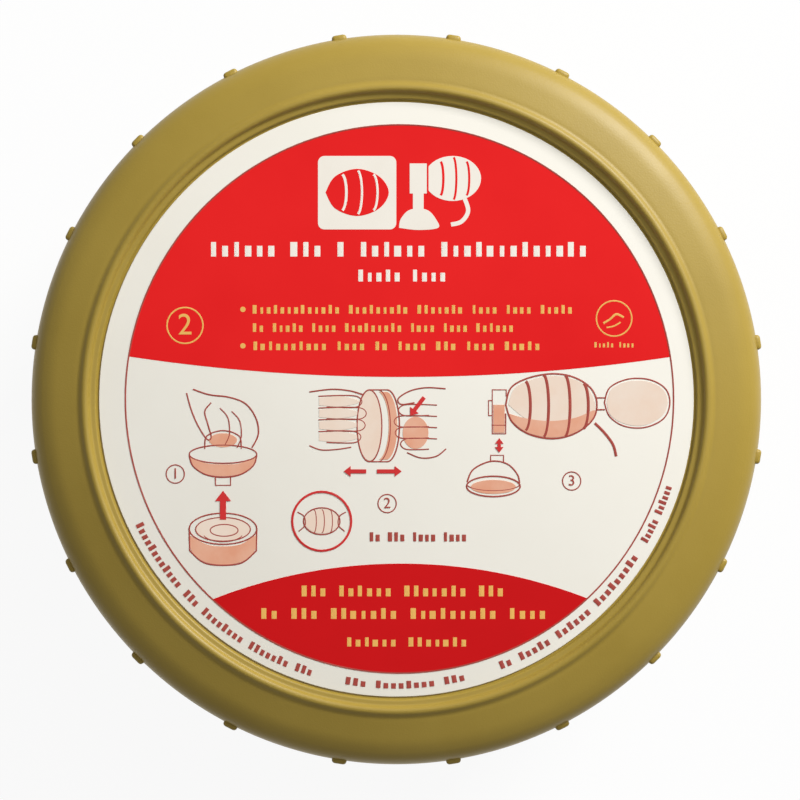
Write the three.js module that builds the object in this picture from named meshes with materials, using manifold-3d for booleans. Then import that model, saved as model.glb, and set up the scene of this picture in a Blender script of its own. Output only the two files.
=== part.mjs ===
// Pocket bag valve mask: a collapsible resuscitator packed in its round two-part hard case.
// Millimetres, +Z up, origin at the centre of the case's foot. The label's top edge points to +Y.
import * as THREE from 'three';
import { mergeVertices } from 'three/addons/utils/BufferGeometryUtils.js';
import Module from 'manifold-3d';

const wasm = await Module();
wasm.setup();
const radiansOf = THREE.MathUtils.degToRad;

// ---- clearances ----
const seatGap = 0.3;          // between a piece and what it rests on or fits into
const stackGap = 0.5;         // between the mask's cuff and the underside of the lid
const overlap = 0.5;          // how far a joined feature runs into its parent

// ---- case ----
const caseRadius = 68.5;      // outside of the lid's skirt and of the base's flange
const caseHeight = 76;        // foot to the crest of the lid's bead
const baseHeight = 62;        // foot to the rim of the open base
const lidWall = 1.8;
const baseWall = 2.0;
const lugRoom = 1.7;          // ring space between the base's neck and the lid's skirt
const floorLift = 1.0;        // floor's underside above the foot
const floorThickness = 1.8;
const footInset = 5;          // foot's outer edge inside the base's wall
const footWidth = 5;
const cornerRadius = 5;       // rounding of the base's lower edge
const flangeTop = 47;         // ledge that stops the lid
const flangeThickness = 2;
const edgeChamfer = 0.6;
const ribCount = 20;
const ribWidth = 2.4;
const ribStand = 0.7;
const ribTopDrop = 6.2;       // crest of the bead down to the top of the grip ribs
const nubAngle = 201.6;       // alignment nub on the lid's skirt, degrees from +X
const nubWidth = 1.6;
const nubStand = 0.4;
const nubHeight = 5;
const lugCount = 4;
const lugAngle = 12;          // width of each lid lug, degrees
const catchAngle = 22;        // width of each catch on the base's neck, degrees
const lockTurn = 25;          // quarter-lock turn of the lid, degrees
const lugStand = 1.3;
const lugHeight = 2.4;
const catchHeight = 1.8;
const catchLift = 5;          // lug's underside above the flange

// ---- lid top ----
const beadInset = 10.4;       // bead's crest inside the skirt
const beadHalf = 0.35;
const beadSlope = 0.7;
const lipWidth = 1.1;
const lipDrop = 1.1;          // bead's crest down to the flat lip
const panelDrop = 1.9;        // bead's crest down to the sunk panel
const labelEdgeGap = 0.5;
const labelThickness = 0.3;
const bandDropInner = 0.9;
const bandDropOuter = 2.8;
const shoulderRadius = 3.6;
const sealThickness = 1.4;
const sealInset = 0.2;
const sealRibInset = 0.1;

// ---- squeeze bag ----
const bagWall = 1.6;
const bagSideGap = 1.5;       // bag to the inside of the base
const wellGap = 0.8;          // bag's wells to the longest thing that lies or turns in them
const wellFillet = 3;
const foldGap = 2;            // between the bag's two folded end walls

// ---- rear unit: intake, reservoir, oxygen tube ----
const packetLength = 64;
const packetWidth = 46;
const packetThickness = 2.8;
const packetCorner = 8;
const spoutRadius = 13;
const spoutWall = 2;
const spoutLength = 2.6;
const filmWall = 1;
const bandWall = 1.4;
const bandHeight = 1.5;
const reservoirDiscThickness = 1.6;
const housingRadius = 33.5;
const housingWall = 2;
const chamberHeight = 2.2;
const plateThickness = 1.4;
const intakeNeckRadius = 20;
const intakeNeckWall = 2;
const rearClampRoom = 4.2;
const clampWall = 2;
const rearClampHeight = 2.8;
const flapPortRadius = 22;    // reservoir's inlet and relief ports from the axis
const flapRadius = 5.2;
const flapThickness = 0.8;
const flapStemRadius = 0.9;
const flapStemTail = 0.5;
const flapHoleGap = 0.4;
const flapWindowRadius = 1.3;
const flapWindowCircle = 3.2;
const flapWindowCount = 4;
const intakeFlapRadius = 11;
const intakeFlapThickness = 1;
const intakeStemRadius = 1.2;
const windowRadius = 2.6;
const windowCircle = 6.5;
const windowCount = 6;
const tubeRadius = 2.75;
const tubeBore = 2;
const tubeCoilGap = 6.8;      // tube's centre line outside the housing
const tubeRise = 2;           // tube's centre line above the housing's lower edge
const spigotRadius = 1.5;
const spigotLength = 4.5;
const tubeLead = 7;           // straight tube over the spigot
const bossWidth = 8;
const bossHeight = 5.2;
const bossStand = 9.8;
const tubeEnd = 210;          // where the coil straightens for the connector, degrees from +X
const tubeTail = 1.5;         // straight tube before the connector
const connectorRadius = 4.25;
const connectorMouth = 3.2;
const connectorLength = 15;
const connectorGrip = 6;      // length of tube held inside the connector

// ---- front unit and patient valve ----
const frontClampHeight = 2.4;
const neckTail = 0.5;         // bag's neck past its clamp
const spigotBoreRadius = 12.2;
const valveSpigotRadius = 14;
const snapLip = 1;
const snapLipHeight = 0.7;
const collarWall = 2.5;
const collarFlangeThickness = 1;
const valveWall = 1.6;
const valveRadius = 17.5;
const portRootRadius = 9.2;
const portBore = 7.5;
const portRadius = 11;
const portStart = 21.8;
const portEnd = 43;
const capPlate = 1.2;
const rimTail = 1;
const capLipThickness = 1.2;
const exhaustRadius = 15;     // outside of the 30 mm exhalation port
const exhaustWall = 1.2;
const nestDepth = 6.5;
const exhaustFlapRadius = 9.5;
const duckDiscRadius = 13.4;
const duckDiscThickness = 1;
const duckBaseRadius = 8.5;
const duckTipRadius = 2;
const duckHeight = 5.3;
const duckWall = 1;
const duckSlit = 0.5;
const seatWidth = 0.8;
const seatHeight = 0.7;

// ---- mask ----
const connectorBore = 11;     // 22 mm female connector
const connectorWall = 2.5;
const maskConnectorLength = 14;
const domeWall = 1.8;
const cuffOverhang = 2.2;     // cuff's inner edge inside the bag's well
const domeSteps = 4;
const domeCurve = 1.3;
const cuffThickness = 12.3;
const maskNarrow = 0.13;      // mask's width against its length
const maskPear = 0.08;        // extra narrowing from chin to nose
const maskRoundRadius = 16;   // inside this radius the mask stays round
const cuffValveRadius = 2.5;
const cuffValveBore = 1.3;
const cuffValveLength = 3.8;
const plugStemRadius = 1;
const plugStemLength = 2.5;
const plugCapRadius = 2.2;
const plugCapHeight = 1.3;

// ---- folded manual ----
const manualWidth = 48;
const manualLength = 52;
const manualLeaf = 0.9;
const manualLeaves = 5;
const manualStagger = 0.4;
const manualCrease = 0.05;    // leaves pressed into each other

// ---- roundness of the meshes ----
const caseSides = 60;
const bagSides = 32;
const maskSides = 40;
const ringSides = 24;
const pinSides = 8;

// ---- levels that follow from the sizes above ----
const neckRadius = caseRadius - lidWall - lugRoom;
const baseInner = neckRadius - baseWall;
const floorTop = floorLift + floorThickness;
const skirtBottom = flangeTop + seatGap;
const panelTop = caseHeight - panelDrop;
const panelUnder = panelTop - lidWall;
const beadRadius = caseRadius - beadInset;
const lipInner = beadRadius - beadHalf - beadSlope - lipWidth;
const sealBottom = baseHeight + seatGap;
const sealTop = sealBottom + sealThickness;

const packetBottom = floorTop + seatGap;
const packetTop = packetBottom + packetThickness;
const spoutBottom = packetTop + seatGap;
const discBottom = spoutBottom + spoutLength;
const discTop = discBottom + reservoirDiscThickness;
const plateBottom = discTop + chamberHeight;
const plateTop = plateBottom + plateThickness;
const rearFloorBottom = plateTop + rearClampRoom;
const rearFloorTop = rearFloorBottom + bagWall;
const rearNeckInner = intakeNeckRadius + seatGap;
const rearNeckOuter = rearNeckInner + bagWall;
const tubeLevel = discBottom + tubeRise;
const coilRadius = housingRadius + tubeCoilGap;
const connectorSocket = tubeRadius + seatGap;
const connectorWidest = Math.max(connectorRadius, connectorSocket + filmWall);
const tailRadius = housingRadius + connectorWidest + seatGap;
const connectorReach = Math.hypot(tailRadius + connectorWidest, tubeTail + connectorLength);
const portReach = Math.hypot(portEnd, portRadius);
const wellRadius = Math.max(connectorReach, portReach) + wellGap;
const tailDirection = new THREE.Vector3(-Math.sin(radiansOf(tubeEnd)), Math.cos(radiansOf(tubeEnd)), 0);

const frontFloorBottom = rearFloorTop + foldGap;
const frontFloorTop = frontFloorBottom + bagWall;
const collarInner = valveSpigotRadius + seatGap;
const collarOuter = collarInner + collarWall;
const frontNeckInner = collarOuter + seatGap;
const frontNeckOuter = frontNeckInner + bagWall;
const frontClampBottom = frontFloorTop + seatGap;
const frontNeckTop = frontClampBottom + frontClampHeight + neckTail;
const collarFlangeBottom = frontNeckTop + seatGap;
const collarTop = collarFlangeBottom + collarFlangeThickness;
const valveBottom = collarTop + seatGap;
const chamberFloor = valveBottom + valveWall;
const portAxis = valveBottom + portRootRadius;
const capBottom = portAxis + portBore;
const nestFloor = capBottom + capPlate;
const valveRim = portAxis + portRootRadius + rimTail;
const lipBottom = frontFloorBottom + seatGap;
const collarBottom = lipBottom + snapLipHeight + seatGap;

const cuffTop = panelUnder - stackGap;
const cuffBottom = cuffTop - cuffThickness;
const cuffMiddle = (cuffTop + cuffBottom) / 2;
const bagOuter = baseInner - bagSideGap;
const bagTop = cuffBottom - seatGap;
const crestRadius = (bagOuter - wellRadius) / 2;
const crestMiddle = (bagOuter + wellRadius) / 2;
const cuffOuter = bagOuter - overlap;
const cuffInner = wellRadius - cuffOverhang;
const cuffWidth = cuffOuter - cuffInner;
const maskEnd = nestFloor + seatGap;
const domeRoot = maskEnd + maskConnectorLength;
const domeRim = cuffInner - seatGap;
const maskConnectorOuter = connectorBore + connectorWall;

// ---- looks ----
const olive = { color: 0x9c8647, roughness: 0.5, metalness: 0 };
const labelCard = { color: 0xf1ead9, roughness: 0.45, metalness: 0 };
const softGrey = { color: 0x2d2f31, roughness: 0.75, metalness: 0 };
const paperWhite = { color: 0xf3f1ea, roughness: 0.9, metalness: 0 };
const clearPlastic = { color: 0xdbe6e8, roughness: 0.2, metalness: 0, transparent: true, opacity: 0.45 };
const cuffVinyl = { color: 0xe9eef0, roughness: 0.4, metalness: 0, transparent: true, opacity: 0.8 };
const bagSilicone = { color: 0xd9dcda, roughness: 0.45, metalness: 0 };
const bluePlastic = { color: 0x2f63a3, roughness: 0.4, metalness: 0 };
const flapRubber = { color: 0xb9332c, roughness: 0.6, metalness: 0 };
const greenTube = { color: 0x9ec7a4, roughness: 0.3, metalness: 0 };
const filmClear = { color: 0xe4ecee, roughness: 0.3, metalness: 0 };

// ---- helpers ----
const point = (r, z) => new THREE.Vector2(r, z);

// Points on an arc about (r, z), from one angle to another, both ends included.
function arc(r, z, radius, from, to, steps) {
  const points = [];
  for (let i = 0; i <= steps; i += 1) {
    const a = radiansOf(from + ((to - from) * i) / steps);
    points.push(point(r + radius * Math.cos(a), z + radius * Math.sin(a)));
  }
  return points;
}

// Closed, outward-facing solid from any closed three.js geometry.
function toSolid(source) {
  const bare = source.index ? source.toNonIndexed() : source.clone();
  bare.deleteAttribute('normal');
  bare.deleteAttribute('uv');
  const merged = mergeVertices(bare, 1e-4);
  const place = merged.attributes.position;
  const corners = [];
  let volume = 0;
  const a = new THREE.Vector3();
  const b = new THREE.Vector3();
  const c = new THREE.Vector3();
  for (let i = 0; i < merged.index.count; i += 3) {
    const ia = merged.index.getX(i);
    const ib = merged.index.getX(i + 1);
    const ic = merged.index.getX(i + 2);
    if (ia !== ib && ib !== ic && ic !== ia) {
      a.fromBufferAttribute(place, ia);
      b.fromBufferAttribute(place, ib);
      c.fromBufferAttribute(place, ic);
      volume += a.dot(b.cross(c));
      corners.push(ia, ib, ic);
    }
  }
  if (volume < 0) {
    corners.reverse();
  }
  const mesh = new wasm.Mesh({
    numProp: 3,
    vertProperties: new Float32Array(place.array),
    triVerts: new Uint32Array(corners),
  });
  return new wasm.Manifold(mesh);
}

// Solid turned about Z from a profile of (radius, height) points.
function turned(profile, sides) {
  const geometry = new THREE.LatheGeometry(profile, sides);
  geometry.rotateX(Math.PI / 2);
  return toSolid(geometry);
}

function ring(inner, outer, bottom, top, sides) {
  const profile = [point(inner, bottom), point(outer, bottom), point(outer, top), point(inner, top)];
  profile.push(profile[0].clone());
  return turned(profile, sides);
}

function disc(radius, bottom, top, sides) {
  return turned([point(0, bottom), point(radius, bottom), point(radius, top), point(0, top)], sides);
}

// Upright pin or drill at (x, y).
function pin(x, y, radius, bottom, top) {
  const geometry = new THREE.CylinderGeometry(radius, radius, top - bottom, pinSides);
  geometry.rotateX(Math.PI / 2);
  geometry.translate(x, y, (top + bottom) / 2);
  return toSolid(geometry);
}

// Block centred on the radius at an angle: depth runs outward, width across.
function block(radiusFrom, radiusTo, width, bottom, top, angle) {
  const geometry = new THREE.BoxGeometry(radiusTo - radiusFrom, width, top - bottom);
  geometry.translate((radiusFrom + radiusTo) / 2, 0, (bottom + top) / 2);
  geometry.rotateZ(radiansOf(angle));
  return toSolid(geometry);
}

// Part of a ring between two angles.
function sector(inner, outer, bottom, top, from, to) {
  const steps = 4;
  const outline = arc(0, 0, outer, from, to, steps).concat(arc(0, 0, inner, to, from, steps));
  const geometry = new THREE.ExtrudeGeometry(new THREE.Shape(outline), {
    depth: top - bottom,
    bevelEnabled: false,
  });
  geometry.translate(0, 0, bottom);
  return toSolid(geometry);
}

function material(look) {
  return new THREE.MeshStandardMaterial(look);
}

function meshOf(name, solid, look) {
  const data = solid.getMesh();
  const geometry = new THREE.BufferGeometry();
  geometry.setAttribute('position', new THREE.BufferAttribute(new Float32Array(data.vertProperties), 3));
  geometry.setIndex(new THREE.BufferAttribute(new Uint32Array(data.triVerts), 1));
  geometry.computeVertexNormals();
  const mesh = new THREE.Mesh(geometry, material(look));
  mesh.name = name;
  return mesh;
}

// Windows in a circle, as drills to cut away.
function cutWindows(solid, x, y, count, circle, radius, bottom, top) {
  let result = solid;
  for (let i = 0; i < count; i += 1) {
    const a = (2 * Math.PI * i) / count;
    const drill = pin(x + circle * Math.cos(a), y + circle * Math.sin(a), radius, bottom, top);
    result = result.subtract(drill);
  }
  return result;
}

// ---- case base: cup with a foot ring, a lid ledge and four catches on its neck ----
function makeBase() {
  const footOuter = neckRadius - footInset;
  const ledge = flangeTop - flangeThickness;
  const profile = [
    point(0, floorLift),
    point(footOuter - footWidth, floorLift),
    point(footOuter - footWidth, 0),
    point(footOuter, 0),
    ...arc(neckRadius - cornerRadius, cornerRadius + floorLift, cornerRadius, -78, 0, 4),
    point(neckRadius, ledge),
    point(caseRadius - edgeChamfer, ledge),
    point(caseRadius, ledge + edgeChamfer),
    point(caseRadius, flangeTop - edgeChamfer),
    point(caseRadius - edgeChamfer, flangeTop),
    point(neckRadius, flangeTop),
    point(neckRadius, baseHeight - edgeChamfer),
    point(neckRadius - edgeChamfer, baseHeight),
    point(baseInner, baseHeight),
    ...arc(baseInner - cornerRadius + 1, floorTop + cornerRadius - 1, cornerRadius - 1, 0, -90, 2),
    point(0, floorTop),
  ];
  let solid = turned(profile, caseSides);
  const catchBottom = flangeTop + catchLift + lugHeight + seatGap;
  for (let i = 0; i < lugCount; i += 1) {
    const middle = (360 * i) / lugCount - lockTurn;
    const from = middle - catchAngle / 2;
    const to = middle + catchAngle / 2;
    const root = neckRadius - overlap;
    const crest = neckRadius + lugStand;
    solid = solid.add(sector(root, crest, catchBottom, catchBottom + catchHeight, from, to));
  }
  return solid;
}

// ---- case lid: sunk label panel, bead, sloping band, shoulder, ribbed skirt and lugs ----
function makeLid() {
  const inner = caseRadius - lidWall;
  const shoulderTop = caseHeight - bandDropOuter;
  const shoulderMiddle = shoulderTop - shoulderRadius;
  const bandInner = beadRadius + beadHalf + beadSlope;
  const bandOuter = caseRadius - shoulderRadius;
  const ribRoof = panelUnder - 1;
  const sealRibInner = baseInner + sealInset + sealRibInset;
  const sealRibOuter = neckRadius - sealInset - sealRibInset;
  const profile = [
    point(0, panelTop),
    point(lipInner, panelTop),
    point(lipInner, caseHeight - lipDrop),
    point(lipInner + lipWidth, caseHeight - lipDrop),
    point(beadRadius - beadHalf, caseHeight),
    point(beadRadius + beadHalf, caseHeight),
    point(bandInner, caseHeight - bandDropInner),
    ...arc(bandOuter, shoulderMiddle, shoulderRadius, 80, 0, 4),
    point(caseRadius, skirtBottom),
    point(inner, skirtBottom),
    point(inner, shoulderMiddle),
    point(bandOuter, ribRoof),
    point(sealRibOuter, ribRoof),
    point(sealRibOuter, sealTop + seatGap),
    point(sealRibInner, sealTop + seatGap),
    point(sealRibInner, panelUnder),
    point(0, panelUnder),
  ];
  let solid = turned(profile, caseSides);
  const ribRoot = caseRadius - overlap;
  for (let i = 0; i < ribCount; i += 1) {
    const angle = (360 * (i + 0.5)) / ribCount;
    const ribTop = caseHeight - ribTopDrop;
    solid = solid.add(block(ribRoot, caseRadius + ribStand, ribWidth, skirtBottom, ribTop, angle));
  }
  const nubTop = skirtBottom + nubHeight;
  solid = solid.add(block(ribRoot, caseRadius + nubStand, nubWidth, skirtBottom, nubTop, nubAngle));
  const lugBottom = flangeTop + catchLift;
  for (let i = 0; i < lugCount; i += 1) {
    const from = (360 * i) / lugCount - lugAngle / 2;
    const to = from + lugAngle;
    const lug = sector(inner - lugStand, inner + overlap, lugBottom, lugBottom + lugHeight, from, to);
    solid = solid.add(lug);
  }
  return solid;
}

// ---- squeeze bag, folded into itself: an outer wall between two deep wells ----
function makeBag() {
  const bottomMiddle = packetBottom + crestRadius;
  const topMiddle = bagTop - crestRadius;
  const inside = crestRadius - bagWall;
  const tight = wellFillet + bagWall;
  const rearCorner = wellRadius - wellFillet;
  const crestSteps = 5;
  const cornerSteps = 2;
  const profile = [
    point(rearNeckOuter, plateTop + seatGap),
    point(rearNeckOuter, rearFloorBottom),
    ...arc(rearCorner, rearFloorBottom - wellFillet, wellFillet, 90, 0, cornerSteps),
    ...arc(crestMiddle, bottomMiddle, crestRadius, 180, 360, crestSteps),
    ...arc(crestMiddle, topMiddle, crestRadius, 0, 180, crestSteps),
    ...arc(rearCorner, frontFloorTop + wellFillet, wellFillet, 0, -90, cornerSteps),
    point(frontNeckOuter, frontFloorTop),
    point(frontNeckOuter, frontNeckTop),
    point(frontNeckInner, frontNeckTop),
    point(frontNeckInner, frontFloorBottom),
    ...arc(rearCorner, frontFloorBottom + tight, tight, -90, 0, cornerSteps),
    ...arc(crestMiddle, topMiddle, inside, 180, 0, crestSteps),
    ...arc(crestMiddle, bottomMiddle, inside, 360, 180, crestSteps),
    ...arc(rearCorner, rearFloorTop - tight, tight, 0, 90, cornerSteps),
    point(rearNeckInner, rearFloorTop),
    point(rearNeckInner, plateTop + seatGap),
  ];
  profile.push(profile[0].clone());
  return turned(profile, bagSides);
}

// ---- reservoir bag: folded film packet with a neck around the spout ----
function makeReservoirBag() {
  const halfLength = packetLength / 2;
  const halfWidth = packetWidth / 2;
  const shape = new THREE.Shape();
  shape.moveTo(-halfLength + packetCorner, -halfWidth);
  shape.lineTo(halfLength - packetCorner, -halfWidth);
  shape.absarc(halfLength - packetCorner, -halfWidth + packetCorner, packetCorner, -Math.PI / 2, 0);
  shape.absarc(halfLength - packetCorner, halfWidth - packetCorner, packetCorner, 0, Math.PI / 2);
  shape.absarc(-halfLength + packetCorner, halfWidth - packetCorner, packetCorner, Math.PI / 2, Math.PI);
  shape.absarc(-halfLength + packetCorner, -halfWidth + packetCorner, packetCorner, Math.PI, 1.5 * Math.PI);
  const geometry = new THREE.ExtrudeGeometry(shape, {
    depth: packetThickness,
    bevelEnabled: false,
    curveSegments: 4,
  });
  geometry.translate(0, 0, packetBottom);
  const inner = spoutRadius + seatGap;
  const neck = ring(inner, inner + filmWall, packetTop - overlap, discBottom - seatGap, ringSides);
  return toSolid(geometry).add(neck);
}

// ---- reservoir collar: disc with a spout and two flap ports ----
function makeReservoirCollar() {
  const radius = housingRadius - housingWall - seatGap;
  const bore = spoutRadius - spoutWall;
  const profile = [
    point(bore, spoutBottom),
    point(spoutRadius, spoutBottom),
    point(spoutRadius, discBottom),
    point(radius, discBottom),
    point(radius, discTop),
    point(bore, discTop),
    point(bore, spoutBottom),
  ];
  let solid = turned(profile, ringSides);
  const low = discBottom - overlap;
  const high = discTop + overlap;
  for (const side of [-1, 1]) {
    const x = side * flapPortRadius;
    solid = solid.subtract(pin(x, 0, flapStemRadius + flapHoleGap, low, high));
    solid = cutWindows(solid, x, 0, flapWindowCount, flapWindowCircle, flapWindowRadius, low, high);
  }
  return solid;
}

// Mushroom flap at its own origin: a disc with its sealing face at z = 0 and a stem below.
function makeFlap(radius, thickness, stemRadius, stemLength) {
  const profile = [
    point(0, -stemLength),
    point(stemRadius, -stemLength),
    point(stemRadius, 0),
    point(radius, 0),
    point(radius, thickness),
    point(0, thickness),
  ];
  return turned(profile, 2 * pinSides);
}

// ---- intake housing: shallow can with a windowed seat, the bag's neck and the oxygen spigot ----
function makeIntake() {
  const bore = intakeNeckRadius - intakeNeckWall;
  const neckTop = rearFloorTop - seatGap;
  const profile = [
    point(0, plateBottom),
    point(housingRadius - housingWall, plateBottom),
    point(housingRadius - housingWall, discBottom),
    point(housingRadius, discBottom),
    point(housingRadius, plateTop),
    point(intakeNeckRadius, plateTop),
    point(intakeNeckRadius, neckTop),
    point(bore, neckTop),
    point(bore, plateTop),
    point(0, plateTop),
  ];
  let solid = turned(profile, ringSides);
  const low = plateBottom - overlap;
  const high = plateTop + overlap;
  solid = solid.subtract(pin(0, 0, intakeStemRadius + flapHoleGap, low, high));
  solid = cutWindows(solid, 0, 0, windowCount, windowCircle, windowRadius, low, high);
  const bossFrom = housingRadius - 2 * overlap;
  const bossTo = housingRadius + bossStand;
  const bossBottom = discBottom;
  const boss = block(bossFrom, bossTo, bossWidth, bossBottom, bossBottom + bossHeight, -90);
  const spigot = new THREE.CylinderGeometry(spigotRadius, spigotRadius, spigotLength, pinSides);
  spigot.rotateZ(Math.PI / 2);
  spigot.translate(bossWidth / 2 + spigotLength / 2 - overlap, -coilRadius, tubeLevel);
  return solid.add(boss).add(toSolid(spigot));
}

// ---- oxygen tube: hollow, straight off the spigot, then one turn round the housing ----
function coilPoint(degrees, radius) {
  const a = radiansOf(degrees);
  return new THREE.Vector3(radius * Math.cos(a), radius * Math.sin(a), tubeLevel);
}

function makeTube() {
  const start = bossWidth / 2 + seatGap;
  const leadFrom = new THREE.Vector3(start, -coilRadius, tubeLevel);
  const leadTo = new THREE.Vector3(start + tubeLead, -coilRadius, tubeLevel);
  const coil = [leadTo];
  const turns = 12;
  const first = THREE.MathUtils.radToDeg((start + tubeLead) / coilRadius) - 90;
  for (let i = 1; i <= turns; i += 1) {
    const radius = coilRadius + ((tailRadius - coilRadius) * i) / turns;
    coil.push(coilPoint(first + ((tubeEnd - first) * i) / turns, radius));
  }
  const tailFrom = coil[turns];
  const tailTo = tailFrom.clone().addScaledVector(tailDirection, tubeTail + connectorGrip);
  const route = new THREE.CurvePath();
  route.add(new THREE.LineCurve3(leadFrom, leadTo));
  route.add(new THREE.CatmullRomCurve3(coil, false, 'centripetal'));
  route.add(new THREE.LineCurve3(tailFrom, tailTo));
  const section = new THREE.Shape();
  section.absarc(0, 0, tubeRadius, 0, 2 * Math.PI);
  const bore = new THREE.Path();
  bore.absarc(0, 0, tubeBore, 0, 2 * Math.PI, true);
  section.holes.push(bore);
  const geometry = new THREE.ExtrudeGeometry(section, {
    steps: 34,
    curveSegments: 4,
    bevelEnabled: false,
    extrudePath: route,
  });
  return toSolid(geometry);
}

// Straight funnel connector along its own Z, its tube socket at the origin.
function makeConnector() {
  const stop = connectorGrip + seatGap;
  const profile = [
    point(connectorSocket, 0),
    point(connectorSocket + filmWall, 0),
    point(connectorWidest, connectorLength),
    point(connectorMouth, connectorLength),
    point(tubeBore, stop + filmWall),
    point(tubeBore, stop),
    point(connectorSocket, stop),
    point(connectorSocket, 0),
  ];
  return turned(profile, 2 * pinSides);
}

// ---- front collar: ring in the bag's neck that the valve's spigot turns in ----
function makeFrontCollar() {
  const profile = [
    point(collarInner, collarBottom),
    point(collarOuter, collarBottom),
    point(collarOuter, collarFlangeBottom),
    point(frontNeckOuter, collarFlangeBottom),
    point(frontNeckOuter, collarTop),
    point(collarInner, collarTop),
    point(collarInner, collarBottom),
  ];
  return turned(profile, ringSides);
}

// ---- valve body: spigot with a snap lip, seat and chamber, with a side hole for the port ----
function makeValveBody() {
  const chamber = valveRadius - valveWall;
  const seatOuter = spigotBoreRadius + seatWidth;
  const profile = [
    point(spigotBoreRadius, lipBottom),
    point(valveSpigotRadius + snapLip, lipBottom),
    point(valveSpigotRadius + snapLip, lipBottom + snapLipHeight),
    point(valveSpigotRadius, lipBottom + snapLipHeight),
    point(valveSpigotRadius, valveBottom),
    point(valveRadius, valveBottom),
    point(valveRadius, valveRim),
    point(chamber, valveRim),
    point(chamber, chamberFloor),
    point(seatOuter, chamberFloor),
    point(seatOuter, chamberFloor + seatHeight),
    point(spigotBoreRadius, chamberFloor + seatHeight),
    point(spigotBoreRadius, lipBottom),
  ];
  const hole = new THREE.CylinderGeometry(
    portRootRadius + seatGap,
    portRootRadius + seatGap,
    valveRadius,
    ringSides,
  );
  hole.rotateZ(Math.PI / 2);
  hole.translate(valveRadius, 0, portAxis);
  const floorKeeper = ring(spigotBoreRadius, valveRadius, lipBottom, chamberFloor, ringSides);
  const body = turned(profile, ringSides);
  return body.subtract(toSolid(hole)).add(body.intersect(floorKeeper));
}

// ---- patient port: 22 mm cone outside, 15 mm inside, its root trimmed to the chamber wall ----
function makePort() {
  const root = valveRadius - valveWall - 4;
  const profile = [
    point(portBore, root),
    point(portRootRadius, root),
    point(portRootRadius, portStart),
    point(portRadius, portStart),
    point(portRadius, portEnd),
    point(portBore, portEnd),
    point(portBore, root),
  ];
  const geometry = new THREE.LatheGeometry(profile, ringSides);
  geometry.rotateZ(-Math.PI / 2);
  geometry.translate(0, 0, portAxis);
  const trim = disc(valveRadius - valveWall, chamberFloor - valveWall, valveRim, ringSides);
  const foot = disc(valveRadius + seatGap, lipBottom, chamberFloor + seatGap, ringSides);
  return toSolid(geometry).subtract(trim).subtract(foot);
}

// ---- duckbill: disc with a hollow, slit wedge of lips ----
function makeDuckbill() {
  const bottom = chamberFloor + seatHeight + seatGap;
  const top = bottom + duckDiscThickness;
  const tip = top + duckHeight;
  const profile = [
    point(duckBaseRadius - duckWall, bottom),
    point(duckDiscRadius, bottom),
    point(duckDiscRadius, top),
    point(duckBaseRadius, top),
    point(duckTipRadius, tip),
    point(0, tip),
    point(0, tip - duckWall),
    point(duckTipRadius - duckWall / 2, tip - duckWall),
    point(duckBaseRadius - duckWall, bottom),
  ];
  const slitGeometry = new THREE.BoxGeometry(duckSlit, 2 * duckTipRadius + duckWall, 3 * duckWall);
  slitGeometry.translate(0, 0, tip);
  return turned(profile.slice(0, -1).concat(profile[0].clone()), ringSides).subtract(toSolid(slitGeometry));
}

// ---- exhalation cap: windowed seat plate, rim lip and the 30 mm port ----
function makeCap() {
  const plateRadius = valveRadius - valveWall - seatGap;
  const lipLow = valveRim + seatGap;
  const lipHigh = lipLow + capLipThickness;
  const profile = [
    point(0, capBottom),
    point(plateRadius, capBottom),
    point(plateRadius, lipLow),
    point(valveRadius, lipLow),
    point(valveRadius, lipHigh),
    point(exhaustRadius, lipHigh),
    point(exhaustRadius, nestFloor + nestDepth),
    point(exhaustRadius - exhaustWall, nestFloor + nestDepth),
    point(exhaustRadius - exhaustWall, nestFloor),
    point(0, nestFloor),
  ];
  const low = capBottom - overlap;
  const high = nestFloor + overlap;
  let solid = turned(profile, ringSides);
  solid = solid.subtract(pin(0, 0, flapStemRadius + flapHoleGap, low, high));
  return cutWindows(solid, 0, 0, windowCount, windowCircle - 1, windowRadius - 0.5, low, high);
}

// ---- mask ----
// Narrows a round mask into its pear outline, leaving the connector round.
function pear(solid) {
  return solid.warp((v) => {
    const r = Math.hypot(v[0], v[1]);
    const blend = THREE.MathUtils.smoothstep(r, maskRoundRadius, cuffInner - cuffValveRadius);
    v[0] *= 1 - blend * (maskNarrow + (maskPear * v[1]) / cuffOuter);
  });
}

// Height of the dome's outer face at a radius, along its facets.
function domeHeight(r) {
  const rise = cuffMiddle - domeWall / 2 - domeRoot;
  const steps = ((r - maskConnectorOuter) / (domeRim - maskConnectorOuter)) * domeSteps;
  const whole = Math.floor(steps);
  const low = domeRoot + rise * (whole / domeSteps) ** domeCurve;
  const high = domeRoot + rise * ((whole + 1) / domeSteps) ** domeCurve;
  return low + (high - low) * (steps - whole);
}

function makeDome() {
  const outer = [];
  const inner = [];
  for (let i = 0; i <= domeSteps; i += 1) {
    const r = maskConnectorOuter + ((domeRim - maskConnectorOuter) * i) / domeSteps;
    outer.push(point(r, domeHeight(r)));
    inner.unshift(point(i === 0 ? connectorBore : r, domeHeight(r) + domeWall));
  }
  const profile = [
    point(connectorBore, maskEnd),
    point(maskConnectorOuter, maskEnd),
    ...outer,
    ...inner,
    point(connectorBore, maskEnd),
  ];
  return pear(turned(profile, maskSides));
}

// Height of the cuff's underside at a radius.
function cuffUnderside(r) {
  const across = (2 * (cuffInner - r)) / cuffWidth + 1;
  return cuffMiddle - (cuffThickness / 2) * Math.sqrt(1 - across ** 2);
}

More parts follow.
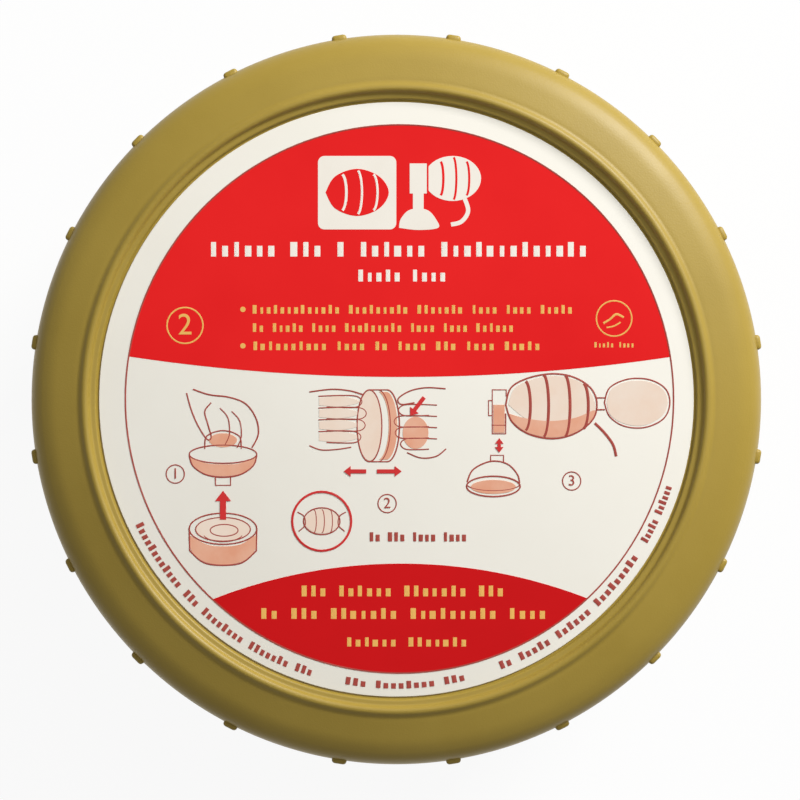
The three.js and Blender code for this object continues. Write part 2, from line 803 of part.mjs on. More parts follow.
function makeCuff() {
  const profile = [];
  const steps = 12;
  const middle = (cuffInner + cuffOuter) / 2;
  for (let i = 0; i < steps; i += 1) {
    const a = (2 * Math.PI * i) / steps;
    const r = middle + (cuffWidth / 2) * Math.cos(a);
    profile.push(point(r, cuffMiddle + (cuffThickness / 2) * Math.sin(a)));
  }
  profile.push(profile[0].clone());
  return pear(turned(profile, maskSides));
}

// ---- manual: one sheet folded to a stack of staggered leaves ----
function makeManual() {
  let solid = null;
  for (let i = 0; i < manualLeaves; i += 1) {
    const inset = (i % 2) * manualStagger;
    const thickness = manualLeaf + manualCrease;
    const leaf = new THREE.BoxGeometry(manualWidth - 2 * inset, manualLength - 2 * inset, thickness);
    leaf.translate(0, 0, manualLeaf * i + thickness / 2);
    solid = solid ? solid.add(toSolid(leaf)) : toSolid(leaf);
  }
  return solid;
}

// ---- assembly ----
const group = new THREE.Group();
const caseGroup = new THREE.Group();
const rearGroup = new THREE.Group();
const frontGroup = new THREE.Group();
const valveGroup = new THREE.Group();
const maskGroup = new THREE.Group();
group.add(caseGroup, rearGroup, frontGroup, maskGroup);
frontGroup.add(valveGroup);

caseGroup.add(meshOf('case_base', makeBase(), olive));
caseGroup.add(meshOf('case_lid', makeLid(), olive));
const label = meshOf('lid_label', disc(lipInner - labelEdgeGap, 0, labelThickness, caseSides), labelCard);
label.position.z = panelTop;
caseGroup.add(label);
const sealIn = baseInner + sealInset;
const sealOut = neckRadius - sealInset;
caseGroup.add(meshOf('lid_seal', ring(sealIn, sealOut, sealBottom, sealTop, caseSides), softGrey));

rearGroup.add(meshOf('squeeze_bag', makeBag(), bagSilicone));
rearGroup.add(meshOf('intake_housing', makeIntake(), bluePlastic));
rearGroup.add(meshOf('reservoir_collar', makeReservoirCollar(), bluePlastic));
rearGroup.add(meshOf('reservoir_bag', makeReservoirBag(), filmClear));
const bandIn = spoutRadius + filmWall + 2 * seatGap;
const bandMiddle = (packetTop + discBottom) / 2;
const bandSolid = ring(bandIn, bandIn + bandWall, -bandHeight / 2, bandHeight / 2, ringSides);
const bandMesh = meshOf('reservoir_band', bandSolid, softGrey);
bandMesh.position.z = bandMiddle;
rearGroup.add(bandMesh);
const rearClampIn = rearNeckOuter + seatGap;
const rearClamp = ring(rearClampIn, rearClampIn + clampWall, 0, rearClampHeight, ringSides);
const rearClampMesh = meshOf('rear_neck_clamp', rearClamp, bluePlastic);
rearClampMesh.position.z = plateTop + seatGap;
rearGroup.add(rearClampMesh);

const stem = reservoirDiscThickness + seatGap + flapStemTail;
const smallFlap = makeFlap(flapRadius, flapThickness, flapStemRadius, stem);
const inletFlap = meshOf('reservoir_inlet_flap', smallFlap, flapRubber);
inletFlap.position.set(flapPortRadius, 0, discTop + seatGap);
rearGroup.add(inletFlap);
const reliefFlap = meshOf('reservoir_relief_flap', smallFlap, flapRubber);
reliefFlap.position.set(-flapPortRadius, 0, discBottom - seatGap);
reliefFlap.rotation.x = Math.PI;
rearGroup.add(reliefFlap);
const intakeStem = plateThickness + seatGap + flapStemTail;
const intakeFlapSolid = makeFlap(intakeFlapRadius, intakeFlapThickness, intakeStemRadius, intakeStem);
const intakeFlap = meshOf('intake_flap', intakeFlapSolid, flapRubber);
intakeFlap.position.z = plateTop + seatGap;
rearGroup.add(intakeFlap);

rearGroup.add(meshOf('oxygen_tube', makeTube(), greenTube));
const connector = meshOf('tube_connector', makeConnector(), bluePlastic);
connector.position.copy(coilPoint(tubeEnd, tailRadius).addScaledVector(tailDirection, tubeTail));
connector.quaternion.setFromUnitVectors(new THREE.Vector3(0, 0, 1), tailDirection);
rearGroup.add(connector);

frontGroup.add(meshOf('front_collar', makeFrontCollar(), bluePlastic));
const frontClampIn = frontNeckOuter + seatGap;
const frontClamp = ring(frontClampIn, frontClampIn + clampWall, 0, frontClampHeight, ringSides);
const frontClampMesh = meshOf('front_neck_clamp', frontClamp, bluePlastic);
frontClampMesh.position.z = frontClampBottom;
frontGroup.add(frontClampMesh);

valveGroup.add(meshOf('valve_body', makeValveBody(), clearPlastic));
valveGroup.add(meshOf('patient_port', makePort(), clearPlastic));
valveGroup.add(meshOf('duckbill_valve', makeDuckbill(), flapRubber));
valveGroup.add(meshOf('exhalation_cap', makeCap(), bluePlastic));
const exhaustStem = capPlate + seatGap + flapStemTail;
const exhaustSolid = makeFlap(exhaustFlapRadius, flapThickness, flapStemRadius, exhaustStem);
const exhaustFlap = meshOf('exhalation_flap', exhaustSolid, flapRubber);
exhaustFlap.position.z = nestFloor + seatGap;
valveGroup.add(exhaustFlap);

maskGroup.add(meshOf('mask_dome', makeDome(), clearPlastic));
maskGroup.add(meshOf('mask_cuff', makeCuff(), cuffVinyl));
const cuffValveReach = wellRadius - seatGap;
const cuffValveTop = cuffUnderside(cuffValveReach) - seatGap;
const cuffValve = ring(cuffValveBore, cuffValveRadius, -cuffValveLength, 0, 2 * pinSides);
const cuffValveMesh = meshOf('cuff_valve_body', cuffValve, clearPlastic);
cuffValveMesh.position.set(0, cuffValveRadius - cuffValveReach, cuffValveTop);
maskGroup.add(cuffValveMesh);
const plugProfile = [
  point(0, -plugCapHeight),
  point(plugCapRadius, -plugCapHeight),
  point(plugCapRadius, 0),
  point(plugStemRadius, 0),
  point(plugStemRadius, plugStemLength),
  point(0, plugStemLength),
];
const plug = meshOf('cuff_valve_plug', turned(plugProfile, 2 * pinSides), flapRubber);
plug.position.copy(cuffValveMesh.position);
plug.position.z -= cuffValveLength + seatGap;
maskGroup.add(plug);
const narrowest = 1 - maskNarrow - maskPear / 2;
const manualCorner = Math.hypot(manualWidth / 2 / narrowest, manualLength / 2);
const manual = meshOf('user_manual', makeManual(), paperWhite);
manual.position.z = domeHeight(manualCorner) + domeWall + seatGap;
maskGroup.add(manual);

export default group;
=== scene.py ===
"""Looks of a pocket bag valve mask packed in its round olive hard case.

Sizes are millimetres in the classes and metres in the meshes.
"""

import logging
import math
from dataclasses import dataclass
from enum import Enum
from typing import Callable, Sequence

import bmesh
import bpy
from mathutils import Matrix, Vector, noise


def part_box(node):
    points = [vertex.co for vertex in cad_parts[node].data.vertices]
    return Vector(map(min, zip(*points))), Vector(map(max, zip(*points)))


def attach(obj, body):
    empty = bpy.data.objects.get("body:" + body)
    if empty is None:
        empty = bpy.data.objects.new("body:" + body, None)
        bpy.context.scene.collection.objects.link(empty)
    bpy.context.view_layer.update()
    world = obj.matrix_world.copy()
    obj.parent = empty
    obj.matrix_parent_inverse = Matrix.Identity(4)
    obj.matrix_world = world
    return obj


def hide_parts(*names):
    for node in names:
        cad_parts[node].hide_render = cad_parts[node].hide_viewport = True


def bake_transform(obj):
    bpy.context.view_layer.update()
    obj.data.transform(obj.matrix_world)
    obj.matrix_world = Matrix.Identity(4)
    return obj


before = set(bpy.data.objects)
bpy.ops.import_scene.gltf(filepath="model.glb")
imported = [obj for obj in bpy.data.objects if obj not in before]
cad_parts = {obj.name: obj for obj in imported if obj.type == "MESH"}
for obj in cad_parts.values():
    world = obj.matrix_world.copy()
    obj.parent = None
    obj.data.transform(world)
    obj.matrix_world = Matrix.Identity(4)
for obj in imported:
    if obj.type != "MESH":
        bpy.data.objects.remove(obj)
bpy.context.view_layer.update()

LOG = logging.getLogger("resuscitator")
MM = 0.001
Point = tuple[float, float]


class Body(str, Enum):
    """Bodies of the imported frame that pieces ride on."""

    BASE = "base"
    REAR = "rear_unit"
    FRONT = "front_unit"
    VALVE = "patient_valve"
    DUCKBILL = "duckbill"
    EXHALE = "exhalation_valve"
    INTAKE = "intake_valve"
    INLET = "inlet_valve"
    RELIEF = "relief_valve"
    MASK = "mask"
    PLUG = "cuff_plug"
    MANUAL = "manual"
    SEAL = "seal"
    LID = "lid"


class Slot(str, Enum):
    """The record's material slots."""

    CASE = "case_plastic"
    LABEL = "label"
    GREY = "soft_grey"
    PAPER = "manual_paper"
    SILICONE = "bag_silicone"
    BLUE = "blue_plastic"
    FLAP = "flap_rubber"
    TUBING = "oxygen_tubing"
    FILM = "reservoir_film"
    CLEAR = "clear_plastic"
    CUFF = "cuff_vinyl"


# --------------------------------------------------------------------------- shapes


@dataclass(frozen=True)
class Corner:
    """One corner of a turned outline: radius, height and rounding, in millimetres."""

    r: float
    z: float
    soft: float = 0.0


def lerp(a: Point, b: Point, t: float) -> Point:
    """Returns the point a share t of the way from a to b."""
    return (a[0] + (b[0] - a[0]) * t, a[1] + (b[1] - a[1]) * t)


def softened(corners: Sequence[Corner], closed: bool, cuts: int = 4) -> list[Point]:
    """Rounds the corners of an outline.

    Args:
        corners: the outline's corners in order.
        closed: whether the last corner joins the first.
        cuts: pieces of each rounding.

    Returns:
        The rounded outline's points, in millimetres.
    """
    out: list[Point] = []
    count = len(corners)
    for i, corner in enumerate(corners):
        here = (corner.r, corner.z)
        if corner.soft <= 0 or (not closed and i in (0, count - 1)):
            out.append(here)
            continue
        before = (corners[i - 1].r, corners[i - 1].z)
        after = (corners[(i + 1) % count].r, corners[(i + 1) % count].z)
        back = min(corner.soft / max(math.dist(here, before), 1e-6), 0.49)
        ahead = min(corner.soft / max(math.dist(here, after), 1e-6), 0.49)
        start, end = lerp(here, before, back), lerp(here, after, ahead)
        for k in range(cuts + 1):
            t = k / cuts
            out.append(lerp(lerp(start, here, t), lerp(here, end, t), t))
    return out


def arc(cx: float, cy: float, rx: float, ry: float, a0: float, a1: float, n: int = 24) -> list[Point]:
    """Returns points along an arc of an ellipse, angles in degrees."""
    span = [math.radians(a0 + (a1 - a0) * i / n) for i in range(n + 1)]
    return [(cx + rx * math.cos(a), cy + ry * math.sin(a)) for a in span]


def to_object(bm: bmesh.types.BMesh, name: str, sharp: float = 38.0) -> bpy.types.Object:
    """Makes a finished object of a bmesh, smooth but for its sharp edges.

    Args:
        bm: the shape, in metres and in place. It is freed.
        name: the piece's name.
        sharp: angle in degrees past which an edge stays sharp.

    Returns:
        The object, linked to the scene.
    """
    mesh = bpy.data.meshes.new(name)
    bm.to_mesh(mesh)
    bm.free()
    mesh.polygons.foreach_set("use_smooth", [True] * len(mesh.polygons))
    mesh.set_sharp_from_angle(angle=math.radians(sharp))
    piece = bpy.data.objects.new(name, mesh)
    bpy.context.scene.collection.objects.link(piece)
    return piece


def spin_into(bm: bmesh.types.BMesh, outline: Sequence[Point], closed: bool, sides: int) -> None:
    """Turns an outline about Z inside a bmesh that holds nothing else yet.

    Args:
        bm: an empty bmesh.
        outline: points of radius and height, in millimetres.
        closed: whether the outline closes on itself.
        sides: steps round the axis.
    """
    verts = [bm.verts.new((r * MM, 0.0, z * MM)) for r, z in outline]
    pairs = list(zip(verts, verts[1:])) + ([(verts[-1], verts[0])] if closed else [])
    edges = [bm.edges.new(pair) for pair in pairs]
    bmesh.ops.spin(
        bm, geom=verts + edges, cent=(0, 0, 0), axis=(0, 0, 1),
        angle=2 * math.pi, steps=sides, use_merge=True, use_duplicate=False,
    )
    bmesh.ops.remove_doubles(bm, verts=bm.verts, dist=1e-7)
    bmesh.ops.recalc_face_normals(bm, faces=bm.faces)


def turned(
    name: str,
    corners: Sequence[Corner],
    closed: bool = False,
    sides: int = 96,
    aim: tuple[float, float, float] = (0, 0, 1),
    place: tuple[float, float, float] = (0, 0, 0),
    sharp: float = 38.0,
    extra: Callable[[bmesh.types.BMesh], None] | None = None,
) -> bpy.types.Object:
    """Makes a turned piece from its corners.

    Args:
        name: the piece's name.
        corners: outline in millimetres.
        closed: whether the outline closes on itself.
        sides: steps round the axis.
        aim: where its own Z axis points once placed.
        place: where its origin lies, in millimetres.
        sharp: angle past which an edge stays sharp.
        extra: more work on the bmesh before it is placed.

    Returns:
        The piece.
    """
    bm = bmesh.new()
    spin_into(bm, softened(corners, closed), closed, sides)
    if extra:
        extra(bm)
    turn = Vector((0, 0, 1)).rotation_difference(Vector(aim)).to_matrix()
    bmesh.ops.rotate(bm, verts=bm.verts, cent=(0, 0, 0), matrix=turn)
    bmesh.ops.translate(bm, verts=bm.verts, vec=Vector(place) * MM)
    return to_object(bm, name, sharp)


def ring(r0: float, r1: float, z0: float, z1: float, soft: float = 0.3) -> list[Corner]:
    """Returns the outline of a plain ring with softened corners."""
    return [Corner(r0, z0, soft), Corner(r1, z0, soft), Corner(r1, z1, soft), Corner(r0, z1, soft)]


def bars_round(
    bm: bmesh.types.BMesh, count: int, first: float, radius: float, size: tuple[float, float, float],
    middle: float, soft: float,
) -> None:
    """Sets rounded bars round a turned piece, such as grip ribs.

    Args:
        bm: the bmesh that takes the bars.
        count: how many.
        first: the first one's angle in degrees.
        radius: radius of their middles, in millimetres.
        size: depth, width and height of a bar, in millimetres.
        middle: height of their middles, in millimetres.
        soft: rounding of their edges, in millimetres.
    """
    for i in range(count):
        made = bmesh.ops.create_cube(bm, size=1.0)["verts"]
        bmesh.ops.scale(bm, verts=made, vec=Vector(size) * MM)
        edges = list({e for v in made for e in v.link_edges})
        fat = bmesh.ops.bevel(
            bm, geom=edges, offset=soft * MM, affect="EDGES", segments=3, profile=0.5, material=-1,
            clamp_overlap=True,
        )
        verts = list({v for f in fat["faces"] for v in f.verts})
        bmesh.ops.translate(bm, verts=verts, vec=Vector((radius, 0, middle)) * MM)
        turn = Matrix.Rotation(math.radians(first + 360 * i / count), 3, "Z")
        bmesh.ops.rotate(bm, verts=verts, cent=(0, 0, 0), matrix=turn)


def add_turned(bm: bmesh.types.BMesh, corners: Sequence[Corner], closed: bool, sides: int = 48,
               place: tuple[float, float, float] = (0, 0, 0)) -> None:
    """Adds another turned shape to a bmesh; see turned."""
    part = bmesh.new()
    spin_into(part, softened(corners, closed), closed, sides)
    bmesh.ops.translate(part, verts=part.verts, vec=Vector(place) * MM)
    mesh = bpy.data.meshes.new("part")
    part.to_mesh(mesh)
    part.free()
    bm.from_mesh(mesh)
    bpy.data.meshes.remove(mesh)


def drill(x: float, y: float, radius: float, z0: float, z1: float) -> tuple[list[Corner], tuple[float, float, float]]:
    """Returns the outline and place of an upright drill."""
    return [Corner(0, z0), Corner(radius, z0), Corner(radius, z1), Corner(0, z1)], (x, y, 0)


def drills_round(
    x: float, y: float, count: int, circle: float, radius: float, z0: float, z1: float
) -> list[tuple[list[Corner], tuple[float, float, float]]]:
    """Returns drills in a circle about (x, y)."""
    steps = [2 * math.pi * i / count for i in range(count)]
    return [drill(x + circle * math.cos(a), y + circle * math.sin(a), radius, z0, z1) for a in steps]


def pierce(piece: bpy.types.Object, drills: Sequence, aim: tuple[float, float, float] = (0, 0, 1)) -> None:
    """Cuts round holes through a piece.

    Args:
        piece: the piece.
        drills: outlines and places of the drills, which do not touch each other.
        aim: where the drills' own Z axis points.
    """
    bm = bmesh.new()
    for corners, place in drills:
        add_turned(bm, corners, False, 40, place)
    turn = Vector((0, 0, 1)).rotation_difference(Vector(aim)).to_matrix()
    bmesh.ops.rotate(bm, verts=bm.verts, cent=(0, 0, 0), matrix=turn)
    cutter = to_object(bm, "cutter")
    cut = piece.modifiers.new("holes", "BOOLEAN")
    cut.operation = "DIFFERENCE"
    cut.solver = "EXACT"
    cut.object = cutter
    bpy.context.view_layer.update()
    mesh = bpy.data.meshes.new_from_object(piece.evaluated_get(bpy.context.evaluated_depsgraph_get()))
    piece.modifiers.clear()
    old, piece.data = piece.data, mesh
    mesh.name = piece.name
    bpy.data.meshes.remove(old)
    bpy.data.objects.remove(cutter)
    mesh.polygons.foreach_set("use_smooth", [True] * len(mesh.polygons))
    mesh.set_sharp_from_angle(angle=math.radians(38))


def wander(spot: Vector, scale: float, seed: float) -> float:
    """Returns smooth noise from -1 to 1 at a place in metres, on features of scale millimetres."""
    return noise.noise(spot / (scale * MM) + Vector((seed, 2.7 * seed, 7.1)))


def crumple(bm: bmesh.types.BMesh, depth: float, scale: float, seed: float) -> None:
    """Moves a shape's points along their normals by smooth noise.

    Args:
        bm: the shape.
        depth: furthest move, in millimetres.
        scale: size of the waves, in millimetres.
        seed: picks the pattern.
    """
    bm.normal_update()
    moves = [v.normal * depth * MM * wander(v.co, scale, seed) for v in bm.verts]
    for vert, move in zip(bm.verts, moves):
        vert.co += move


def box_into(bm: bmesh.types.BMesh, low: Sequence[float], high: Sequence[float], soft: float) -> None:
    """Adds a rounded block between two corners in millimetres."""
    made = bmesh.ops.create_cube(bm, size=1.0)["verts"]
    size = Vector(high) - Vector(low)
    bmesh.ops.scale(bm, verts=made, vec=size * MM)
    edges = list({e for v in made for e in v.link_edges})
    fat = bmesh.ops.bevel(
        bm, geom=edges, offset=soft * MM, affect="EDGES", segments=4, profile=0.5, material=-1,
        clamp_overlap=True,
    )
    verts = list({v for f in fat["faces"] for v in f.verts})
    bmesh.ops.translate(bm, verts=verts, vec=(Vector(low) + size / 2) * MM)


@dataclass(frozen=True)
class Fold:
    """A strip folded back and forth over itself."""

    half: float
    width: float
    bottom: float
    pitch: float
    layers: int
    wall: float
    corner: float
    wave: float
    wave_scale: float
    stagger: float = 0.4
    cuts: int = 36

    def path(self) -> list[Point]:
        """Returns the strip's path in length and height, in millimetres."""
        points: list[Point] = []
        turn = self.pitch / 2
        for layer in range(self.layers):
            z = self.bottom + self.pitch * layer
            side = 1 if layer % 2 == 0 else -1
            reach = self.half - turn - self.stagger * (layer % 3)
            points += [(side * reach * (2 * i / self.cuts - 1), z) for i in range(self.cuts + 1)]
            if layer < self.layers - 1:
                bend = arc(side * reach, z + turn, turn, turn, -90, 90, 6)
                points += [(x, h) if side > 0 else (2 * side * reach - x, h) for x, h in bend[1:-1]]
        return points

    def make(self, seed: float) -> bmesh.types.BMesh:
        """Returns the folded strip as a bmesh in metres.

        Args:
            seed: picks the pattern of its waves.
        """
        bm = bmesh.new()
        path = self.path()
        row = [bm.verts.new((x * MM, -self.width / 2 * MM, z * MM)) for x, z in path]
        edges = [bm.edges.new(pair) for pair in zip(row, row[1:])]
        step = Vector((0, self.width * MM / self.cuts, 0))
        for _ in range(self.cuts):
            made = bmesh.ops.extrude_edge_only(bm, edges=edges)["geom"]
            bmesh.ops.translate(bm, verts=[g for g in made if isinstance(g, bmesh.types.BMVert)], vec=step)
            edges = [g for g in made if isinstance(g, bmesh.types.BMEdge)]
        self.round_corners(bm)
        bmesh.ops.recalc_face_normals(bm, faces=bm.faces)
        for vert in bm.verts:
            vert.co.z += self.wave * MM * wander(vert.co, self.wave_scale, seed)
        bmesh.ops.solidify(bm, geom=bm.faces[:], thickness=self.wall * MM)
        bmesh.ops.recalc_face_normals(bm, faces=bm.faces)
        return bm

    def round_corners(self, bm: bmesh.types.BMesh) -> None:
        """Draws the strip's corners in to round ones."""
        for vert in bm.verts:
            past = abs(vert.co.x) / MM - (self.half - self.corner)
            if past > 0 and self.corner > 0:
                share = 1 - math.sqrt(max(0.0, 1 - min(1.0, past / self.corner) ** 2))
                vert.co.y *= 1 - share * self.corner / (self.width / 2)


# --------------------------------------------------------------------------- finishes


class Nodes:
    """Adds and joins the nodes of one tree."""

    def __init__(self, tree: bpy.types.NodeTree) -> None:
        """Starts on an empty tree."""
        self.tree = tree
        tree.nodes.clear()

    def add(self, kind: str, **values: object) -> bpy.types.Node:
        """Adds a node.

        Args:
            kind: the node's type name.
            values: its properties, or its inputs where the name is one of theirs with _ for a space.

        Returns:
            The node.
        """
        node = self.tree.nodes.new(kind)
        for key, value in values.items():
            socket = node.inputs.get(key.replace("_", " "))
            if socket is not None and not hasattr(type(node), key):
                socket.default_value = value
            else:
                setattr(node, key, value)
        return node

    def join(self, out: bpy.types.NodeSocket, into: bpy.types.NodeSocket) -> None:
        """Links one socket to another."""
        self.tree.links.new(out, into)


def new_group(name: str, inputs: dict[str, tuple[str, object]], outputs: dict[str, str]) -> tuple:
    """Makes a shader group.

    Args:
        name: the group's name.
        inputs: socket type and starting value by name.
        outputs: socket type by name.

    Returns:
        The group, its node maker, its input node and its output node.
    """
    group = bpy.data.node_groups.new(name, "ShaderNodeTree")
    for key, (kind, value) in inputs.items():
        socket = group.interface.new_socket(name=key, in_out="INPUT", socket_type=kind)
        if value is not None:
            socket.default_value = value
    for key, kind in outputs.items():
        group.interface.new_socket(name=key, in_out="OUTPUT", socket_type=kind)
    kit = Nodes(group)
    return group, kit, kit.add("NodeGroupInput"), kit.add("NodeGroupOutput")


def grain_group() -> bpy.types.NodeTree:
    """Makes the fine and coarse moulded grain, as a height."""
    group, kit, into, out = new_group(
        "Moulded Grain",
        {
            "Vector": ("NodeSocketVector", None),
            "Fine": ("NodeSocketFloat", 2500.0),
            "Coarse": ("NodeSocketFloat", 120.0),
            "Coarse Share": ("NodeSocketFloat", 0.3),
        },
        {"Height": "NodeSocketFloat"},
    )
    fine = kit.add("ShaderNodeTexNoise", Detail=2.0)
    coarse = kit.add("ShaderNodeTexNoise", Detail=3.0)
    mix = kit.add("ShaderNodeMix")
    for node, key in ((fine, "Fine"), (coarse, "Coarse")):
        kit.join(into.outputs["Vector"], node.inputs["Vector"])
        kit.join(into.outputs[key], node.inputs["Scale"])
    kit.join(into.outputs["Coarse Share"], mix.inputs["Factor"])
    kit.join(fine.outputs["Fac"], mix.inputs["A"])
    kit.join(coarse.outputs["Fac"], mix.inputs["B"])
    kit.join(mix.outputs["Result"], out.inputs["Height"])
    return group


def drift_group() -> bpy.types.NodeTree:
    """Makes the slow drift of a colour over a surface."""
    group, kit, into, out = new_group(
        "Tone Drift",
        {
            "Vector": ("NodeSocketVector", None),
            "Color": ("NodeSocketColor", (0.5, 0.5, 0.5, 1.0)),
            "Deep": ("NodeSocketColor", (0.4, 0.4, 0.4, 1.0)),
            "Scale": ("NodeSocketFloat", 30.0),
            "Amount": ("NodeSocketFloat", 0.5),
        },
        {"Color": "NodeSocketColor"},
    )
    blotch = kit.add("ShaderNodeTexNoise", Detail=4.0, Roughness=0.6)
    ramp = kit.add("ShaderNodeMapRange", From_Min=0.35, From_Max=0.7)
    scale = kit.add("ShaderNodeMath", operation="MULTIPLY")
    mix = kit.add("ShaderNodeMix", data_type="RGBA")
    kit.join(into.outputs["Vector"], blotch.inputs["Vector"])
    kit.join(into.outputs["Scale"], blotch.inputs["Scale"])
    kit.join(blotch.outputs["Fac"], ramp.inputs["Value"])
    kit.join(ramp.outputs["Result"], scale.inputs[0])
    kit.join(into.outputs["Amount"], scale.inputs[1])
    kit.join(scale.outputs[0], mix.inputs["Factor"])
    kit.join(into.outputs["Color"], mix.inputs[6])
    kit.join(into.outputs["Deep"], mix.inputs[7])
    kit.join(mix.outputs[2], out.inputs["Color"])
    return group


def handling_group() -> bpy.types.NodeTree:
    """Makes the rub marks and smears of handling, as a roughness."""
    group, kit, into, out = new_group(
        "Handling Marks",
        {
            "Vector": ("NodeSocketVector", None),
            "Base": ("NodeSocketFloat", 0.4),
            "Spread": ("NodeSocketFloat", 0.1),
            "Scale": ("NodeSocketFloat", 60.0),
        },
        {"Roughness": "NodeSocketFloat"},
    )
    smear = kit.add("ShaderNodeTexNoise", Detail=5.0, Distortion=0.6)
    shift = kit.add("ShaderNodeMath", operation="SUBTRACT")
    scale = kit.add("ShaderNodeMath", operation="MULTIPLY_ADD")
    shift.inputs[1].default_value = 0.5
    kit.join(into.outputs["Vector"], smear.inputs["Vector"])
    kit.join(into.outputs["Scale"], smear.inputs["Scale"])
    kit.join(smear.outputs["Fac"], shift.inputs[0])
    kit.join(shift.outputs[0], scale.inputs[0])
    kit.join(into.outputs["Spread"], scale.inputs[1])
    kit.join(into.outputs["Base"], scale.inputs[2])
    kit.join(scale.outputs[0], out.inputs["Roughness"])
    return group


GRAIN = grain_group()
DRIFT = drift_group()
HANDLING = handling_group()


@dataclass(frozen=True)
class Finish:
    """A surface finish: its colours, gloss and grain."""

    name: str
    color: tuple[float, float, float]
    deep: tuple[float, float, float]
    roughness: float = 0.4
    spread: float = 0.15
    drift_scale: float = 40.0
    drift: float = 0.5
    grain: float = 0.1
    grain_depth: float = 0.02
    fine: float = 2500.0
    coarse: float = 150.0
    coarse_share: float = 0.25
    clear: float = 0.0
    coat: float = 0.0
    scatter: float = 0.0
    sheen: float = 0.0
    gloss: float = 0.5

    def make(self) -> bpy.types.Material:
        """Returns the material, built once for each finish."""
        ready = bpy.data.materials.get(self.name)
        if ready is not None:
            return ready
        material = bpy.data.materials.new(self.name)
        material.use_nodes = True
        kit = Nodes(material.node_tree)
        where = kit.add("ShaderNodeTexCoord").outputs["Object"]
        shader = kit.add("ShaderNodeBsdfPrincipled")
        out = kit.add("ShaderNodeOutputMaterial")
        self.set_constants(shader)
        drift = kit.add("ShaderNodeGroup", node_tree=DRIFT)
        drift.inputs["Color"].default_value = (*self.color, 1.0)
        drift.inputs["Deep"].default_value = (*self.deep, 1.0)
        drift.inputs["Scale"].default_value = self.drift_scale
        drift.inputs["Amount"].default_value = self.drift
        marks = kit.add("ShaderNodeGroup", node_tree=HANDLING)
        marks.inputs["Base"].default_value = self.roughness
        marks.inputs["Spread"].default_value = self.spread
        grain = kit.add("ShaderNodeGroup", node_tree=GRAIN)
        grain.inputs["Fine"].default_value = self.fine
        grain.inputs["Coarse"].default_value = self.coarse
        grain.inputs["Coarse Share"].default_value = self.coarse_share
        bump = kit.add("ShaderNodeBump")
        bump.inputs["Strength"].default_value = self.grain
        bump.inputs["Distance"].default_value = self.grain_depth * MM * 10
        for node in (drift, marks, grain):
            kit.join(where, node.inputs["Vector"])
        kit.join(drift.outputs["Color"], shader.inputs["Base Color"])
        kit.join(marks.outputs["Roughness"], shader.inputs["Roughness"])
        kit.join(grain.outputs["Height"], bump.inputs["Height"])
        kit.join(bump.outputs["Normal"], shader.inputs["Normal"])
        kit.join(shader.outputs["BSDF"], out.inputs["Surface"])
        return material

    def set_constants(self, shader: bpy.types.Node) -> None:
        """Sets what is the same all over the surface on the shader itself."""
        shader.inputs["Transmission Weight"].default_value = self.clear
        shader.inputs["Coat Weight"].default_value = self.coat
        shader.inputs["Coat Roughness"].default_value = 0.12
        shader.inputs["Subsurface Weight"].default_value = self.scatter
        shader.inputs["Subsurface Radius"].default_value = (0.004, 0.003, 0.002)
        shader.inputs["Sheen Weight"].default_value = self.sheen
        shader.inputs["Specular IOR Level"].default_value = self.gloss
        shader.inputs["IOR"].default_value = 1.5


OLIVE = Finish("olive_case", (0.350, 0.243, 0.037), (0.305, 0.208, 0.026), 0.44, 0.12, 55, 0.55,
               0.2, 0.02, 3200, 260, 0.35, gloss=0.36)
CARD = Finish("label_card", (0.88, 0.85, 0.765), (0.83, 0.795, 0.70), 0.5, 0.1, 25, 0.6, 0.04, 0.01, gloss=0.3)
RED = Finish("print_red", (0.80, 0.0135, 0.0135), (0.70, 0.006, 0.008), 0.55, 0.1, 18, 0.8, 0.04, 0.01, gloss=0.12)
DEEP_RED = Finish("print_deep_red", (0.60, 0.004, 0.006), (0.50, 0.003, 0.004), 0.55, 0.1, 18, 0.8, 0.04, 0.01, gloss=0.12)
LINE_RED = Finish("print_line_red", (0.36, 0.045, 0.028), (0.27, 0.03, 0.02), 0.4, 0.1, 200, 0.6, 0.03, 0.01)
PEACH = Finish("print_peach", (0.74, 0.33, 0.20), (0.80, 0.46, 0.32), 0.4, 0.1, 160, 0.8, 0.03, 0.01)
PALE_PEACH = Finish("print_pale_peach", (0.84, 0.66, 0.53), (0.86, 0.74, 0.63), 0.5, 0.1, 160, 0.8, 0.03, 0.01, gloss=0.2)
CREAM = Finish("print_cream", (0.88, 0.83, 0.74), (0.82, 0.76, 0.66), 0.4, 0.1, 90, 0.5, 0.03, 0.01)
GOLD = Finish("print_gold", (0.80, 0.45, 0.10), (0.72, 0.36, 0.08), 0.4, 0.1, 90, 0.5, 0.03, 0.01)
ARROW = Finish("print_arrow", (0.60, 0.012, 0.012), (0.5, 0.01, 0.01), 0.36, 0.1, 90, 0.5, 0.03, 0.01)
GREY = Finish("soft_grey_rubber", (0.035, 0.037, 0.04), (0.05, 0.05, 0.052), 0.62, 0.2, 90, 0.6,
              0.3, 0.02, 1800, 200, 0.5)
PAPER = Finish("leaflet_paper", (0.72, 0.70, 0.65), (0.66, 0.64, 0.58), 0.85, 0.1, 70, 0.5, 0.25, 0.02,
               1500, 300, 0.5)
SILICONE = Finish("bag_silicone_wall", (0.43, 0.455, 0.44), (0.36, 0.385, 0.37), 0.46, 0.2, 45, 0.8,
                  0.3, 0.03, 1400, 120, 0.6, scatter=0.3, gloss=0.4)
BLUE = Finish("blue_moulding", (0.02, 0.11, 0.33), (0.015, 0.085, 0.27), 0.3, 0.16, 60, 0.6,
              0.16, 0.02, 2600, 220, 0.3, coat=0.15)
